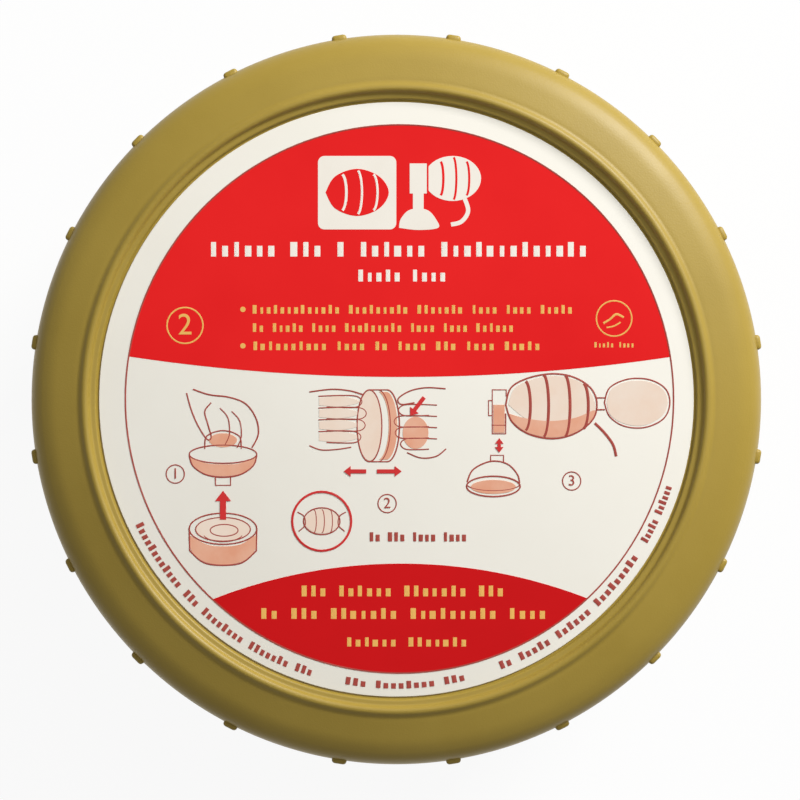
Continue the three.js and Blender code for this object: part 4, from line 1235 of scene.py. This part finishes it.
@dataclass
class SqueezeBag:
    """The silicone bag, folded into its own two wells."""

    wall: float = 1.6
    outer: float = 61.5
    well: float = 46.2
    fillet: float = 3.0
    rear_neck: float = 21.9
    front_neck: float = 18.7
    pleats: int = 4
    pleat_depth: float = 0.75
    sides: int = 144

    def __post_init__(self) -> None:
        """Takes the folds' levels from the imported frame."""
        self.low, self.top = levels("squeeze_bag")
        self.crest = (self.outer - self.well) / 2
        self.middle = (self.outer + self.well) / 2
        self.rear_floor = levels("intake_housing")[1] + 0.3
        self.front_floor = levels("front_neck_clamp")[0] - 0.3
        self.neck_top = levels("front_neck_clamp")[1] + 0.5
        self.neck_low = levels("rear_neck_clamp")[0]

    def skin(self, path: Sequence[Point], name: str, seed: float) -> bpy.types.Object:
        """Turns an outer path into a soft wall of the bag's thickness.

        Args:
            path: radius and height of the outer face, in millimetres, with the wall to its left.
            name: the piece's name.
            seed: picks its unevenness.

        Returns:
            The piece.
        """
        inner: list[Point] = []
        for i, here in enumerate(path):
            a, b = path[max(i - 1, 0)], path[min(i + 1, len(path) - 1)]
            along = Vector((b[0] - a[0], b[1] - a[1])).normalized()
            inner.append((here[0] - along.y * self.wall, here[1] + along.x * self.wall))
        bm = bmesh.new()
        spin_into(bm, list(path) + inner[::-1], True, self.sides)
        crumple(bm, 0.22, 16, seed)
        crumple(bm, 0.07, 4, seed + 3)
        return to_object(bm, name, 60)

    def rear_path(self) -> list[Point]:
        """Returns the rear end wall's outer face, from its neck to the lower crest."""
        corner = self.well - self.fillet
        floor = self.rear_floor - self.wall
        run = [(self.rear_neck + (corner - self.rear_neck) * i / 14, floor) for i in range(15)]
        return (
            [(self.rear_neck, self.neck_low), (self.rear_neck, self.neck_low + 2)]
            + arc(self.rear_neck + 1.2, floor - 1.2, 1.2, 1.2, 180, 90, 4)
            + run[1:] + arc(corner, floor - self.fillet, self.fillet, self.fillet, 90, 0, 6)[1:]
            + arc(self.middle, self.low + self.crest, self.crest, self.crest, 180, 270, 16)
        )

    def side_path(self) -> list[Point]:
        """Returns the outer wall's face from the lower crest to the upper one, with its pleats."""
        bottom, roof = self.low + self.crest, self.top - self.crest
        wall: list[Point] = []
        for i in range(1, 80):
            t = i / 80
            dip = self.pleat_depth * (0.5 + 0.5 * math.cos(2 * math.pi * (t * (self.pleats + 1)))) ** 6
            fade = min(1.0, 8 * min(t, 1 - t))
            wall.append((self.outer - dip * fade, bottom + (roof - bottom) * t))
        return (
            arc(self.middle, bottom, self.crest, self.crest, 270, 360, 14) + wall
            + arc(self.middle, roof, self.crest, self.crest, 0, 90, 14)
        )

    def front_path(self) -> list[Point]:
        """Returns the front end wall's outer face, from the upper crest to its neck."""
        corner = self.well - self.fillet
        floor = self.front_floor
        run = [(corner + (self.front_neck - corner) * i / 14, floor) for i in range(15)]
        return (
            arc(self.middle, self.top - self.crest, self.crest, self.crest, 90, 180, 16)
            + arc(corner, floor + self.fillet, self.fillet, self.fillet, 0, -90, 6)
            + run[1:-1] + arc(self.front_neck + 0.8, floor + 0.8, 0.8, 0.8, -90, -180, 4)
            + [(self.front_neck, self.neck_top)]
        )

    def build(self) -> None:
        """Builds the bag's rear wall, pleated side and front wall."""
        rear = self.skin(self.rear_path(), "bag_rear_wall", 1.0)
        deliver(rear, SILICONE, Slot.SILICONE, Body.REAR, "squeeze_bag")
        front = self.skin(self.front_path(), "bag_front_wall", 5.0)
        deliver(front, SILICONE, Slot.SILICONE, Body.FRONT, "squeeze_bag")
        side = self.skin(self.side_path(), "bag_side_wall", 9.0)
        deliver(side, SILICONE, Slot.SILICONE, None, "squeeze_bag")
        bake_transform(side)


@dataclass
class RearUnit:
    """The intake housing, reservoir, their valves and clamps, and the oxygen tube."""

    housing: float = 33.5
    wall: float = 2.0
    neck: float = 20.0
    port: float = 22.0
    windows: int = 6
    boss: float = 8.0
    tube: float = 2.75
    bore: float = 2.0
    coil: float = 40.3
    tail: float = 38.05
    tail_angle: float = 210.0
    tube_lead: float = 7.0
    grip_bars: int = 48

    def __post_init__(self) -> None:
        """Takes the plates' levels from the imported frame."""
        self.disc_low, self.neck_top = levels("intake_housing")
        self.disc_top = self.disc_low + 1.6
        self.plate_low = self.disc_top + 2.2
        self.plate_top = levels("rear_neck_clamp")[0] - 0.3
        low, high = levels("oxygen_tube")
        self.level = (low + high) / 2

    def intake_housing(self) -> None:
        """Turns the shallow can, its windowed seat and neck, and adds the oxygen boss and barb."""
        bore = self.neck - self.wall
        corners = [
            Corner(0, self.plate_low),
            Corner(self.housing - self.wall, self.plate_low, 0.3),
            Corner(self.housing - self.wall, self.disc_low, 0.3),
            Corner(self.housing, self.disc_low, 0.4),
            Corner(self.housing, self.plate_top, 0.8),
            Corner(self.neck, self.plate_top, 0.4),
            Corner(self.neck, self.neck_top, 0.4),
            Corner(bore, self.neck_top, 0.4),
            Corner(bore, self.plate_top, 0.3),
            Corner(12.4, self.plate_top, 0.1),
            Corner(12.1, self.plate_top + 0.2, 0.1),
            Corner(11.7, self.plate_top + 0.2, 0.1),
            Corner(11.4, self.plate_top, 0.1),
            Corner(0, self.plate_top),
        ]
        piece = turned("intake_can", corners, sides=128)
        drills = drills_round(0, 0, self.windows, 6.5, 2.6, self.plate_low - 1, self.plate_top + 1)
        pierce(piece, drills + [drill(0, 0, 1.6, self.plate_low - 1, self.plate_top + 1)])
        deliver(piece, BLUE, Slot.BLUE, Body.REAR, "intake_housing")
        bm = bmesh.new()
        box_into(bm, (-self.boss / 2, -self.housing - 9.8, self.disc_low),
                 (self.boss / 2, -self.housing + 1.0, self.disc_low + 5.2), 0.9)
        height = self.plate_top - self.disc_low - 1.6
        bars_round(bm, self.grip_bars, 0, self.housing + 0.05, (0.7, 1.0, height), self.disc_low + height / 2 + 0.8, 0.25)
        boss = to_object(bm, "oxygen_boss")
        deliver(boss, BLUE, Slot.BLUE, Body.REAR, "intake_housing")
        barb = [Corner(0, 0), Corner(1.5, 0), Corner(1.5, 2.8, 0.1), Corner(1.95, 3.0, 0.1), Corner(1.3, 4.5, 0.2), Corner(0, 4.5)]
        spigot = turned("oxygen_barb", barb, aim=(1, 0, 0), place=(self.boss / 2 - 0.5, -self.coil, self.level), sides=32)
        deliver(spigot, BLUE, Slot.BLUE, Body.REAR, "intake_housing")

    def collar(self) -> None:
        """Turns the reservoir's disc and spout and drills its two flap ports."""
        outer = self.housing - self.wall - 0.3
        low = levels("reservoir_collar")[0]
        corners = [
            Corner(11, low, 0.3), Corner(13, low, 0.4), Corner(13, self.disc_low, 0.4),
            Corner(outer, self.disc_low, 0.3), Corner(outer, self.disc_top, 0.3), Corner(11, self.disc_top, 0.4),
        ]
        disc = turned("reservoir_disc", corners, closed=True, sides=120)
        drills = []
        for side in (-1, 1):
            x = side * self.port
            drills.append(drill(x, 0, 1.3, low, self.disc_top + 1))
            drills += drills_round(x, 0, 4, 3.2, 1.3, low, self.disc_top + 1)
        pierce(disc, drills)
        deliver(disc, BLUE, Slot.BLUE, Body.REAR, "reservoir_collar")

    def clamps(self) -> None:
        """Turns the rear neck clamp with its two crimp lines, and the reservoir's rubber band."""
        low, top = levels("rear_neck_clamp")
        r = radius_of("rear_neck_clamp")
        middle = (low + top) / 2
        corners = [
            Corner(r - 2, low, 0.4), Corner(r, low, 0.5), Corner(r, middle - 0.5, 0.2), Corner(r - 0.35, middle - 0.2, 0.2),
            Corner(r - 0.35, middle + 0.2, 0.2), Corner(r, middle + 0.5, 0.2), Corner(r, top, 0.5), Corner(r - 2, top, 0.4),
        ]
        deliver(turned("rear_clamp_ring", corners, closed=True, sides=120), BLUE, Slot.BLUE, Body.REAR, "rear_neck_clamp")
        low, top = levels("reservoir_band")
        r = radius_of("reservoir_band")
        band = turned("reservoir_rubber_band", ring(r - 1.4, r, low, top, 0.68), closed=True, sides=96)
        deliver(band, GREY, Slot.GREY, Body.REAR, "reservoir_band")

    def packet(self) -> None:
        """Folds the reservoir's film and gathers its neck round the spout."""
        low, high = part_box("reservoir_bag")
        bottom = low.z / MM
        fold = Fold((high.x - low.x) / 2 / MM, (high.y - low.y) / MM, bottom + 0.45, 0.82, 3, 0.26, 7, 0.16, 9)
        film = to_object(fold.make(4.0), "reservoir_film_folds", 50)
        deliver(film, FILM, Slot.FILM, Body.REAR, "reservoir_bag")
        top = high.z / MM
        neck_low = bottom + 2.3
        bm = bmesh.new()
        spin_into(bm, softened(ring(13.35, 14.2, neck_low, top, 0.2), True), True, 288)
        for vert in bm.verts:
            a = math.atan2(vert.co.y, vert.co.x)
            spread = 1 + 0.012 * math.cos(36 * a) * (1.0 if vert.co.xy.length > 13.8 * MM else 0.2)
            vert.co.xy *= spread
        deliver(to_object(bm, "reservoir_film_neck", 50), FILM, Slot.FILM, Body.REAR, "reservoir_bag")

    def tubing(self) -> None:
        """Bends the oxygen tube round the housing and turns its funnel connector."""
        start = self.boss / 2 + 0.3
        first = math.degrees((start + self.tube_lead) / self.coil) - 90
        route = [(start + self.tube_lead * i / 6, -self.coil) for i in range(6)]
        for i in range(91):
            a = math.radians(first + (self.tail_angle - first) * i / 90)
            r = self.coil + (self.tail - self.coil) * i / 90
            route.append((r * math.cos(a), r * math.sin(a)))
        away = (-math.sin(math.radians(self.tail_angle)), math.cos(math.radians(self.tail_angle)))
        route += [(route[-1][0] + away[0] * d, route[-1][1] + away[1] * d) for d in (2.5, 5.0, 7.4)]
        curve = bpy.data.curves.new("tube", "CURVE")
        curve.dimensions = "3D"
        curve.bevel_depth = self.tube * MM
        curve.bevel_resolution = 6
        spline = curve.splines.new("POLY")
        spline.points.add(len(route) - 1)
        for spot, (x, y) in zip(spline.points, route):
            spot.co = (x * MM, y * MM, self.level * MM, 1.0)
        mesh = curve_to_mesh(curve)
        bm = bmesh.new()
        bm.from_mesh(mesh)
        bpy.data.meshes.remove(mesh)
        bmesh.ops.remove_doubles(bm, verts=bm.verts, dist=1e-7)
        bmesh.ops.recalc_face_normals(bm, faces=bm.faces)
        bmesh.ops.solidify(bm, geom=bm.faces[:], thickness=(self.tube - self.bore) * MM)
        deliver(to_object(bm, "oxygen_tube_coil", 60), TUBING, Slot.TUBING, Body.REAR, "oxygen_tube")
        a = math.radians(self.tail_angle)
        place = (self.tail * math.cos(a) + away[0] * 1.5, self.tail * math.sin(a) + away[1] * 1.5, self.level)
        corners = [
            Corner(3.05, 0, 0.2), Corner(4.05, 0, 0.3), Corner(4.08, 3.0, 0.1), Corner(3.9, 3.3, 0.1), Corner(3.95, 6.2, 0.1),
            Corner(4.25, 6.6, 0.2), Corner(4.25, 8.2, 0.2), Corner(3.9, 8.6, 0.2), Corner(4.1, 14.2, 0.2), Corner(4.25, 15, 0.2),
            Corner(3.2, 15, 0.3), Corner(2.0, 7.3, 0.2), Corner(2.0, 6.3, 0.1), Corner(3.05, 6.3, 0.1),
        ]
        funnel = turned("tube_funnel", corners, closed=True, sides=64, aim=(away[0], away[1], 0), place=place)
        deliver(funnel, BLUE, Slot.BLUE, Body.REAR, "tube_connector")

    def build(self) -> None:
        """Builds the rear unit."""
        self.intake_housing()
        self.collar()
        self.clamps()
        self.packet()
        self.tubing()
        mushroom("intake_flap", Body.INTAKE, 1.2, 0.9)
        mushroom("reservoir_inlet_flap", Body.INLET, 0.9, 0.7)
        mushroom("reservoir_relief_flap", Body.RELIEF, 0.9, 0.7, upright=False)


def mushroom(node: str, body: Body, stem: float, thick: float, upright: bool = True) -> None:
    """Turns a mushroom flap with a thin feathered rim and a bulbed stem.

    Args:
        node: the CAD node it stands for.
        body: the body it rides on.
        stem: its stem's radius, in millimetres.
        thick: its disc's thickness, in millimetres.
        upright: whether the disc is above the stem.
    """
    low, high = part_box(node)
    r = (high.x - low.x) / 2 / MM
    tall = (high.z - low.z) / MM
    seat = tall - thick - 0.1
    corners = [
        Corner(0, 0), Corner(stem * 0.7, 0, 0.2), Corner(stem + 0.25, 0.5, 0.2), Corner(stem * 0.85, 1.0, 0.2),
        Corner(stem * 0.85, seat, 0.1), Corner(r * 0.8, seat + 0.05, 0.1), Corner(r, seat, 0.1),
        Corner(r, seat + thick * 0.5, 0.15), Corner(r * 0.55, seat + thick * 0.85, 0.4),
        Corner(stem * 1.8, seat + thick, 0.2), Corner(0, tall),
    ]
    aim = (0, 0, 1) if upright else (0, 0, -1)
    z = low.z / MM if upright else high.z / MM
    place = ((low.x + high.x) / 2 / MM, (low.y + high.y) / 2 / MM, z)
    piece = turned(node + "_rubber", corners, sides=72, aim=aim, place=place)
    deliver(piece, FLAP, Slot.FLAP, body, node)


# --------------------------------------------------------------------------- front unit and valve


@dataclass
class FrontUnit:
    """The collar and clamp in the bag's front neck."""

    inner: float = 14.3
    outer: float = 16.8

    def build(self) -> None:
        """Builds the collar and its clamp."""
        low, top = levels("front_collar")
        flange = radius_of("front_collar")
        corners = [
            Corner(self.inner, low, 0.3), Corner(self.outer, low, 0.5), Corner(self.outer, top - 1, 0.3),
            Corner(flange, top - 1, 0.3), Corner(flange, top, 0.4), Corner(self.inner, top, 0.4),
        ]
        collar = turned("front_collar_ring", corners, closed=True, sides=96)
        deliver(collar, BLUE, Slot.BLUE, Body.FRONT, "front_collar")
        low, top = levels("front_neck_clamp")
        r = radius_of("front_neck_clamp")
        clamp = turned("front_clamp_ring", ring(r - 2, r, low, top, 0.55), closed=True, sides=96)
        deliver(clamp, BLUE, Slot.BLUE, Body.FRONT, "front_neck_clamp")


@dataclass
class PatientValve:
    """The clear T valve with its red duckbill, its cap and the exhalation flap."""

    bore: float = 12.2
    spigot: float = 14.0
    body: float = 17.5
    wall: float = 1.6
    root: float = 9.2
    port_bore: float = 7.5
    port: float = 11.0
    cap_port: float = 15.0

    def __post_init__(self) -> None:
        """Takes the valve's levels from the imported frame."""
        self.low, self.rim = levels("valve_body")
        low, high = levels("patient_port")
        self.axis = (low + high) / 2
        self.shoulder = self.axis - self.root
        self.floor = self.shoulder + self.wall

    def chamber(self) -> None:
        """Turns the body and opens it for the port."""
        inner = self.body - self.wall
        seat = self.bore + 0.8
        corners = [
            Corner(self.bore, self.low, 0.3), Corner(self.spigot + 1, self.low, 0.3), Corner(self.spigot + 1, self.low + 0.7, 0.3),
            Corner(self.spigot, self.low + 0.9, 0.2), Corner(self.spigot, self.shoulder, 0.3),
            Corner(self.body, self.shoulder, 0.9), Corner(self.body, self.rim, 0.4), Corner(inner, self.rim, 0.4),
            Corner(inner, self.floor, 0.6), Corner(seat, self.floor, 0.2), Corner(seat, self.floor + 0.7, 0.2),
            Corner(self.bore, self.floor + 0.7, 0.2),
        ]
        piece = turned("valve_chamber", corners, closed=True, sides=128)
        hole = [Corner(0, 5), Corner(self.root + 0.1, 5), Corner(self.root + 0.1, 30), Corner(0, 30)]
        pierce(piece, [(hole, (-self.axis, 0, 0))], aim=(1, 0, 0))
        deliver(piece, CLEAR, Slot.CLEAR, Body.VALVE, "valve_body")

    def side_port(self) -> None:
        """Turns the 22 mm port with its stop ring and trims its root to the chamber."""
        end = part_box("patient_port")[1].x / MM
        corners = [
            Corner(self.port_bore, 10, 0.1), Corner(self.root, 10, 0.1), Corner(self.root, 19.4, 0.4), Corner(self.port + 0.6, 20.4, 0.4),
            Corner(self.port + 0.6, 22, 0.4), Corner(self.port, 22.6, 0.3), Corner(self.port - 0.25, end, 0.5), Corner(self.port_bore + 0.15, end, 0.5),
        ]
        piece = turned("patient_port_cone", corners, closed=True, sides=96, aim=(1, 0, 0), place=(0, 0, self.axis))
        pierce(piece, [drill(0, 0, self.body - self.wall + 0.05, 20, 60)])
        deliver(piece, CLEAR, Slot.CLEAR, Body.VALVE, "patient_port")

    def duckbill(self) -> None:
        """Turns the duckbill and pinches its lips to a slit."""
        low, top = levels("duckbill_valve")
        r = radius_of("duckbill_valve")
        disc = low + 1
        corners = [
            Corner(7.5, low, 0.2), Corner(r, low, 0.2), Corner(r, disc, 0.3), Corner(9.3, disc, 0.3), Corner(8.4, disc + 1, 0.5),
            Corner(7.7, top - 0.8, 0.3), Corner(7.5, top, 0.1), Corner(6.9, top, 0.1), Corner(6.9, top - 0.8, 0.3), Corner(7.3, disc, 0.3),
        ]

        def pinch(bm: bmesh.types.BMesh) -> None:
            for vert in bm.verts:
                t = max(0.0, (vert.co.z / MM - disc - 0.5) / (top - disc - 0.5))
                vert.co.y *= 1 - 0.93 * t ** 0.8
            bm.normal_update()

        bill = turned("duckbill_lips", corners, closed=True, sides=96, extra=pinch)
        deliver(bill, FLAP, Slot.FLAP, Body.DUCKBILL, "duckbill_valve")

    def cap(self) -> None:
        """Turns the exhalation cap with its windowed seat and port ring."""
        low, top = levels("exhalation_cap")
        nest = low + 1.2
        lip = self.rim + 0.3
        inner = self.body - self.wall - 0.3
        corners = [
            Corner(0, low), Corner(inner, low, 0.3), Corner(inner, lip, 0.3), Corner(self.body, lip, 0.3),
            Corner(self.body, lip + 1.2, 0.4), Corner(self.cap_port, lip + 1.2, 0.4), Corner(self.cap_port, top, 0.4),
            Corner(self.cap_port - 1.2, top, 0.4), Corner(self.cap_port - 1.2, nest, 0.5), Corner(10.2, nest, 0.1),
            Corner(10.0, nest + 0.2, 0.1), Corner(9.7, nest + 0.2, 0.1), Corner(9.5, nest, 0.1), Corner(0, nest),
        ]
        piece = turned("exhalation_port", corners, sides=112)
        drills = drills_round(0, 0, 6, 5.5, 2.1, low - 1, nest + 1) + [drill(0, 0, 1.3, low - 1, nest + 1)]
        pierce(piece, drills)
        deliver(piece, BLUE, Slot.BLUE, Body.VALVE, "exhalation_cap")

    def build(self) -> None:
        """Builds the valve."""
        self.chamber()
        self.side_port()
        self.duckbill()
        self.cap()
        mushroom("exhalation_flap", Body.EXHALE, 0.9, 0.7)


# --------------------------------------------------------------------------- mask and manual


@dataclass
class FaceMask:
    """The face mask: clear dome, air cushion, its valve and the plug."""

    bore: float = 11.0
    connector: float = 13.5
    dome_wall: float = 1.8
    dome_curve: float = 1.3
    cuff_in: float = 44.0
    cuff_out: float = 61.0
    round_in: float = 16.0
    round_out: float = 41.5
    narrow: float = 0.13
    pear: float = 0.08
    steps: int = 20

    def __post_init__(self) -> None:
        """Takes the mask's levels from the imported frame."""
        self.low = levels("mask_dome")[0]
        self.cuff_low, self.cuff_top = levels("mask_cuff")
        self.middle = (self.cuff_low + self.cuff_top) / 2
        self.root = self.low + 14
        self.rim = self.cuff_in - 0.3

    def shape(self, bm: bmesh.types.BMesh) -> None:
        """Draws a round mask in to its pear outline, and leaves the connector round."""
        for vert in bm.verts:
            r = vert.co.xy.length / MM
            t = min(1.0, max(0.0, (r - self.round_in) / (self.round_out - self.round_in)))
            t = t * t * (3 - 2 * t)
            vert.co.x *= 1 - t * (self.narrow + self.pear * vert.co.y / MM / self.cuff_out)

    def dome(self) -> None:
        """Turns the connector and the flattened dome."""
        rise = self.middle - self.dome_wall / 2 - self.root
        outer: list[Point] = []
        for i in range(self.steps + 1):
            t = i / self.steps
            outer.append((self.connector + (self.rim - self.connector) * t, self.root + rise * t ** self.dome_curve))
        inner = [(max(r, self.connector - 0.8), z + self.dome_wall) for r, z in outer]
        corners = [Corner(self.bore, self.low, 0.3), Corner(self.connector + 0.5, self.low, 0.4),
                   Corner(self.connector + 0.5, self.low + 2, 0.3), Corner(self.connector, self.low + 2.3, 0.2)]
        corners += [Corner(r, z, 0.8 if i == 0 else 0) for i, (r, z) in enumerate(outer)]
        corners += [Corner(r, z) for r, z in inner[::-1]]
        corners += [Corner(self.bore, self.root + self.dome_wall, 0.5)]
        piece = turned("mask_shell", corners, closed=True, sides=160, sharp=50, extra=self.shape)
        deliver(piece, CLEAR, Slot.CLEAR, Body.MASK, "mask_dome")

    def cuff(self) -> None:
        """Turns the air cushion with its weld line and its slight unevenness."""
        half = (self.cuff_out - self.cuff_in) / 2
        tall = (self.cuff_top - self.cuff_low) / 2
        centre = (self.cuff_out + self.cuff_in) / 2
        outline = []
        for i in range(56):
            a = 2 * math.pi * i / 56
            c, s = math.cos(a), math.sin(a)
            weld = 0.35 if i == 28 else 0.0
            outline.append((centre + (half + weld) * c, self.middle + tall * math.copysign(abs(s) ** 0.94, s)))
        bm = bmesh.new()
        spin_into(bm, outline, True, 200)
        self.shape(bm)
        crumple(bm, 0.25, 14, 6.0)
        cushion = to_object(bm, "mask_cushion", 60)
        deliver(cushion, VINYL, Slot.CUFF, Body.MASK, "mask_cuff")

    def inflation_valve(self) -> None:
        """Turns the cushion's valve and its plug."""
        low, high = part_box("cuff_valve_body")
        place = ((low.x + high.x) / 2 / MM, (low.y + high.y) / 2 / MM, 0)
        r = (high.x - low.x) / 2 / MM
        z0, z1 = low.z / MM, high.z / MM
        corners = [
            Corner(1.3, z0, 0.2), Corner(r - 0.4, z0, 0.2), Corner(r - 0.4, z0 + 0.5, 0.1), Corner(r, z0 + 0.7, 0.1),
            Corner(r, z1, 0.2), Corner(1.3, z1, 0.2),
        ]
        tube = turned("cuff_valve_tube", corners, closed=True, sides=48, place=place)
        deliver(tube, BLUE, Slot.BLUE, Body.MASK, "cuff_valve_body")
        p0, p1 = levels("cuff_valve_plug")
        r = radius_of("cuff_valve_plug")
        corners = [
            Corner(0, p0), Corner(r - 0.3, p0, 0.2), Corner(r, p0 + 0.4, 0.2), Corner(r, p0 + 1.2, 0.2),
            Corner(1.1, p0 + 1.3, 0.1), Corner(1.0, p1 - 0.5, 0.2), Corner(0.7, p1, 0.2), Corner(0, p1),
        ]
        plug = turned("cuff_valve_stopper", corners, sides=48, place=place)
        deliver(plug, GREY, Slot.GREY, Body.PLUG, "cuff_valve_plug")

    def build(self) -> None:
        """Builds the mask."""
        self.dome()
        self.cuff()
        self.inflation_valve()


@dataclass
class FoldedManual:
    """The user's leaflet, folded back and forth, with plain printed lines."""

    leaves: int = 5
    sheet: float = 0.3

    def build(self) -> None:
        """Folds the leaflet and prints its top leaf."""
        low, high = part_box("user_manual")
        tall = (high.z - low.z) / MM
        pitch = (tall - self.sheet - 0.15) / (self.leaves - 1)
        half = (high.x - low.x) / 2 / MM
        fold = Fold(half, (high.y - low.y) / MM, low.z / MM + self.sheet, pitch, self.leaves, self.sheet, 0, 0.05, 22, 0.25, 24)
        paper = to_object(fold.make(11.0), "leaflet_folds", 50)
        deliver(paper, PAPER, Slot.PAPER, Body.MANUAL, "user_manual")
        ink = Ink("leaflet_print", LINE_RED, high.z / MM - 0.02)
        for k in range(9):
            span = 34.0 if k % 4 != 3 else 22.0
            ink.dashes(-18 + span / 2, 6.0 - 3.2 * k, span, 1.1, (5, 7, 3, 6, 4) if k % 2 else (3, 8, 5, 4, 6))
        ink.line(arc(-0.5, 15.5, 9.0, 4.6, 0, 360, 40)[:-1], 0.35, True)
        for x, h in ((-5.0, 3.6), (-1.8, 4.4), (1.6, 4.4), (4.8, 3.4)):
            ink.line(arc(x, 15.5, 0.8, h, 90, -90, 12), 0.3)
        ink.print_on(Body.MANUAL, Slot.PAPER)


# --------------------------------------------------------------------------- studio


@dataclass
class Studio:
    """Floor, light and the camera straight above the lid."""

    distance: float = 1.0
    silhouette: float = 366.0
    ambient: float = 0.22
    offset: Point = (0.00069, -0.0001)

    def floor(self) -> None:
        """Lays a plain white floor that keeps the object's shadow."""
        bm = bmesh.new()
        bmesh.ops.create_grid(bm, x_segments=1, y_segments=1, size=3.0)
        bmesh.ops.translate(bm, verts=bm.verts, vec=(0.9, 0.2, -0.2 * MM))
        floor = to_object(bm, "studio_floor")
        material = bpy.data.materials.new("studio_white")
        material.use_nodes = True
        kit = Nodes(material.node_tree)
        paint = kit.add("ShaderNodeBsdfDiffuse")
        paint.inputs["Color"].default_value = (0.82, 0.82, 0.82, 1)
        glow = kit.add("ShaderNodeEmission")
        glow.inputs["Color"].default_value = (1, 1, 1, 1)
        glow.inputs["Strength"].default_value = 1.0
        ray = kit.add("ShaderNodeLightPath")
        share = kit.add("ShaderNodeMath", operation="MULTIPLY")
        share.inputs[1].default_value = 0.93
        seen = kit.add("ShaderNodeMath", operation="MAXIMUM")
        seen_too = kit.add("ShaderNodeMath", operation="MAXIMUM")
        mix = kit.add("ShaderNodeMixShader")
        out = kit.add("ShaderNodeOutputMaterial")
        kit.join(ray.outputs["Is Camera Ray"], seen.inputs[0])
        kit.join(ray.outputs["Is Transmission Ray"], seen.inputs[1])
        kit.join(seen.outputs[0], seen_too.inputs[0])
        kit.join(ray.outputs["Is Glossy Ray"], seen_too.inputs[1])
        kit.join(seen_too.outputs[0], share.inputs[0])
        kit.join(share.outputs[0], mix.inputs[0])
        kit.join(paint.outputs[0], mix.inputs[1])
        kit.join(glow.outputs[0], mix.inputs[2])
        face = kit.add("ShaderNodeNewGeometry")
        gone = kit.add("ShaderNodeBsdfTransparent")
        below = kit.add("ShaderNodeMixShader")
        kit.join(face.outputs["Backfacing"], below.inputs[0])
        kit.join(mix.outputs[0], below.inputs[1])
        kit.join(gone.outputs[0], below.inputs[2])
        kit.join(below.outputs[0], out.inputs["Surface"])
        floor.data.materials.append(material)

    def lamp(self, name: str, place: tuple[float, float, float], power: float, size: float) -> None:
        """Hangs a soft square lamp that faces the case.

        Args:
            name: the lamp's name.
            place: where it hangs, in metres.
            power: its power in watts.
            size: its side in metres.
        """
        data = bpy.data.lights.new(name, "AREA")
        data.energy = power
        data.size = size
        lamp = bpy.data.objects.new(name, data)
        bpy.context.scene.collection.objects.link(lamp)
        lamp.location = place
        aim = Vector((0, 0, 0.06)) - Vector(place)
        lamp.rotation_euler = aim.to_track_quat("-Z", "Y").to_euler()

    def light(self) -> None:
        """Sets a key light at the upper right and a pale world."""
        self.lamp("key_lamp", (0.80, 0.90, 0.72), 25.0, 0.5)
        self.lamp("top_lamp", (0.45, 0.55, 1.5), 5.5, 0.8)
        world = bpy.data.worlds.new("studio_world")
        bpy.context.scene.world = world
        world.use_nodes = True
        kit = Nodes(world.node_tree)
        ray = kit.add("ShaderNodeLightPath")
        seen = kit.add("ShaderNodeMath", operation="MAXIMUM")
        seen_too = kit.add("ShaderNodeMath", operation="MAXIMUM")
        level = kit.add("ShaderNodeMapRange")
        level.inputs["To Min"].default_value = self.ambient
        level.inputs["To Max"].default_value = 0.98
        shade = kit.add("ShaderNodeBackground")
        out = kit.add("ShaderNodeOutputWorld")
        kit.join(ray.outputs["Is Camera Ray"], seen.inputs[0])
        kit.join(ray.outputs["Is Transmission Ray"], seen.inputs[1])
        kit.join(seen.outputs[0], seen_too.inputs[0])
        kit.join(ray.outputs["Is Glossy Ray"], seen_too.inputs[1])
        kit.join(seen_too.outputs[0], level.inputs["Value"])
        kit.join(level.outputs["Result"], shade.inputs["Strength"])
        kit.join(shade.outputs[0], out.inputs["Surface"])

    def camera(self) -> None:
        """Sets the camera above the lid, its top edge towards +Y."""
        data = bpy.data.cameras.new("camera_above")
        low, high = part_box("case_lid")
        half = (high.x - low.x) / 2
        data.sensor_width = 36.0
        data.lens = self.silhouette / 800 * 36.0 * self.distance / half
        data.clip_end = 20.0
        camera = bpy.data.objects.new("camera_above", data)
        camera.location = (self.offset[0], self.offset[1], high.z - 0.006 + self.distance)
        bpy.context.scene.collection.objects.link(camera)
        bpy.context.scene.camera = camera

    def build(self) -> None:
        """Builds the studio."""
        self.camera()
        self.floor()
        self.light()
        bpy.context.scene.view_settings.view_transform = "Standard"


def main() -> None:
    logging.basicConfig(level=logging.INFO, format="%(message)s")
    for part in (Studio(), HardCase(), LidLabel(), SqueezeBag(), RearUnit(), FrontUnit(), PatientValve(), FaceMask(), FoldedManual()):
        part.build()
        LOG.info("built %s", type(part).__name__)


if __name__ == "__main__":
    main()
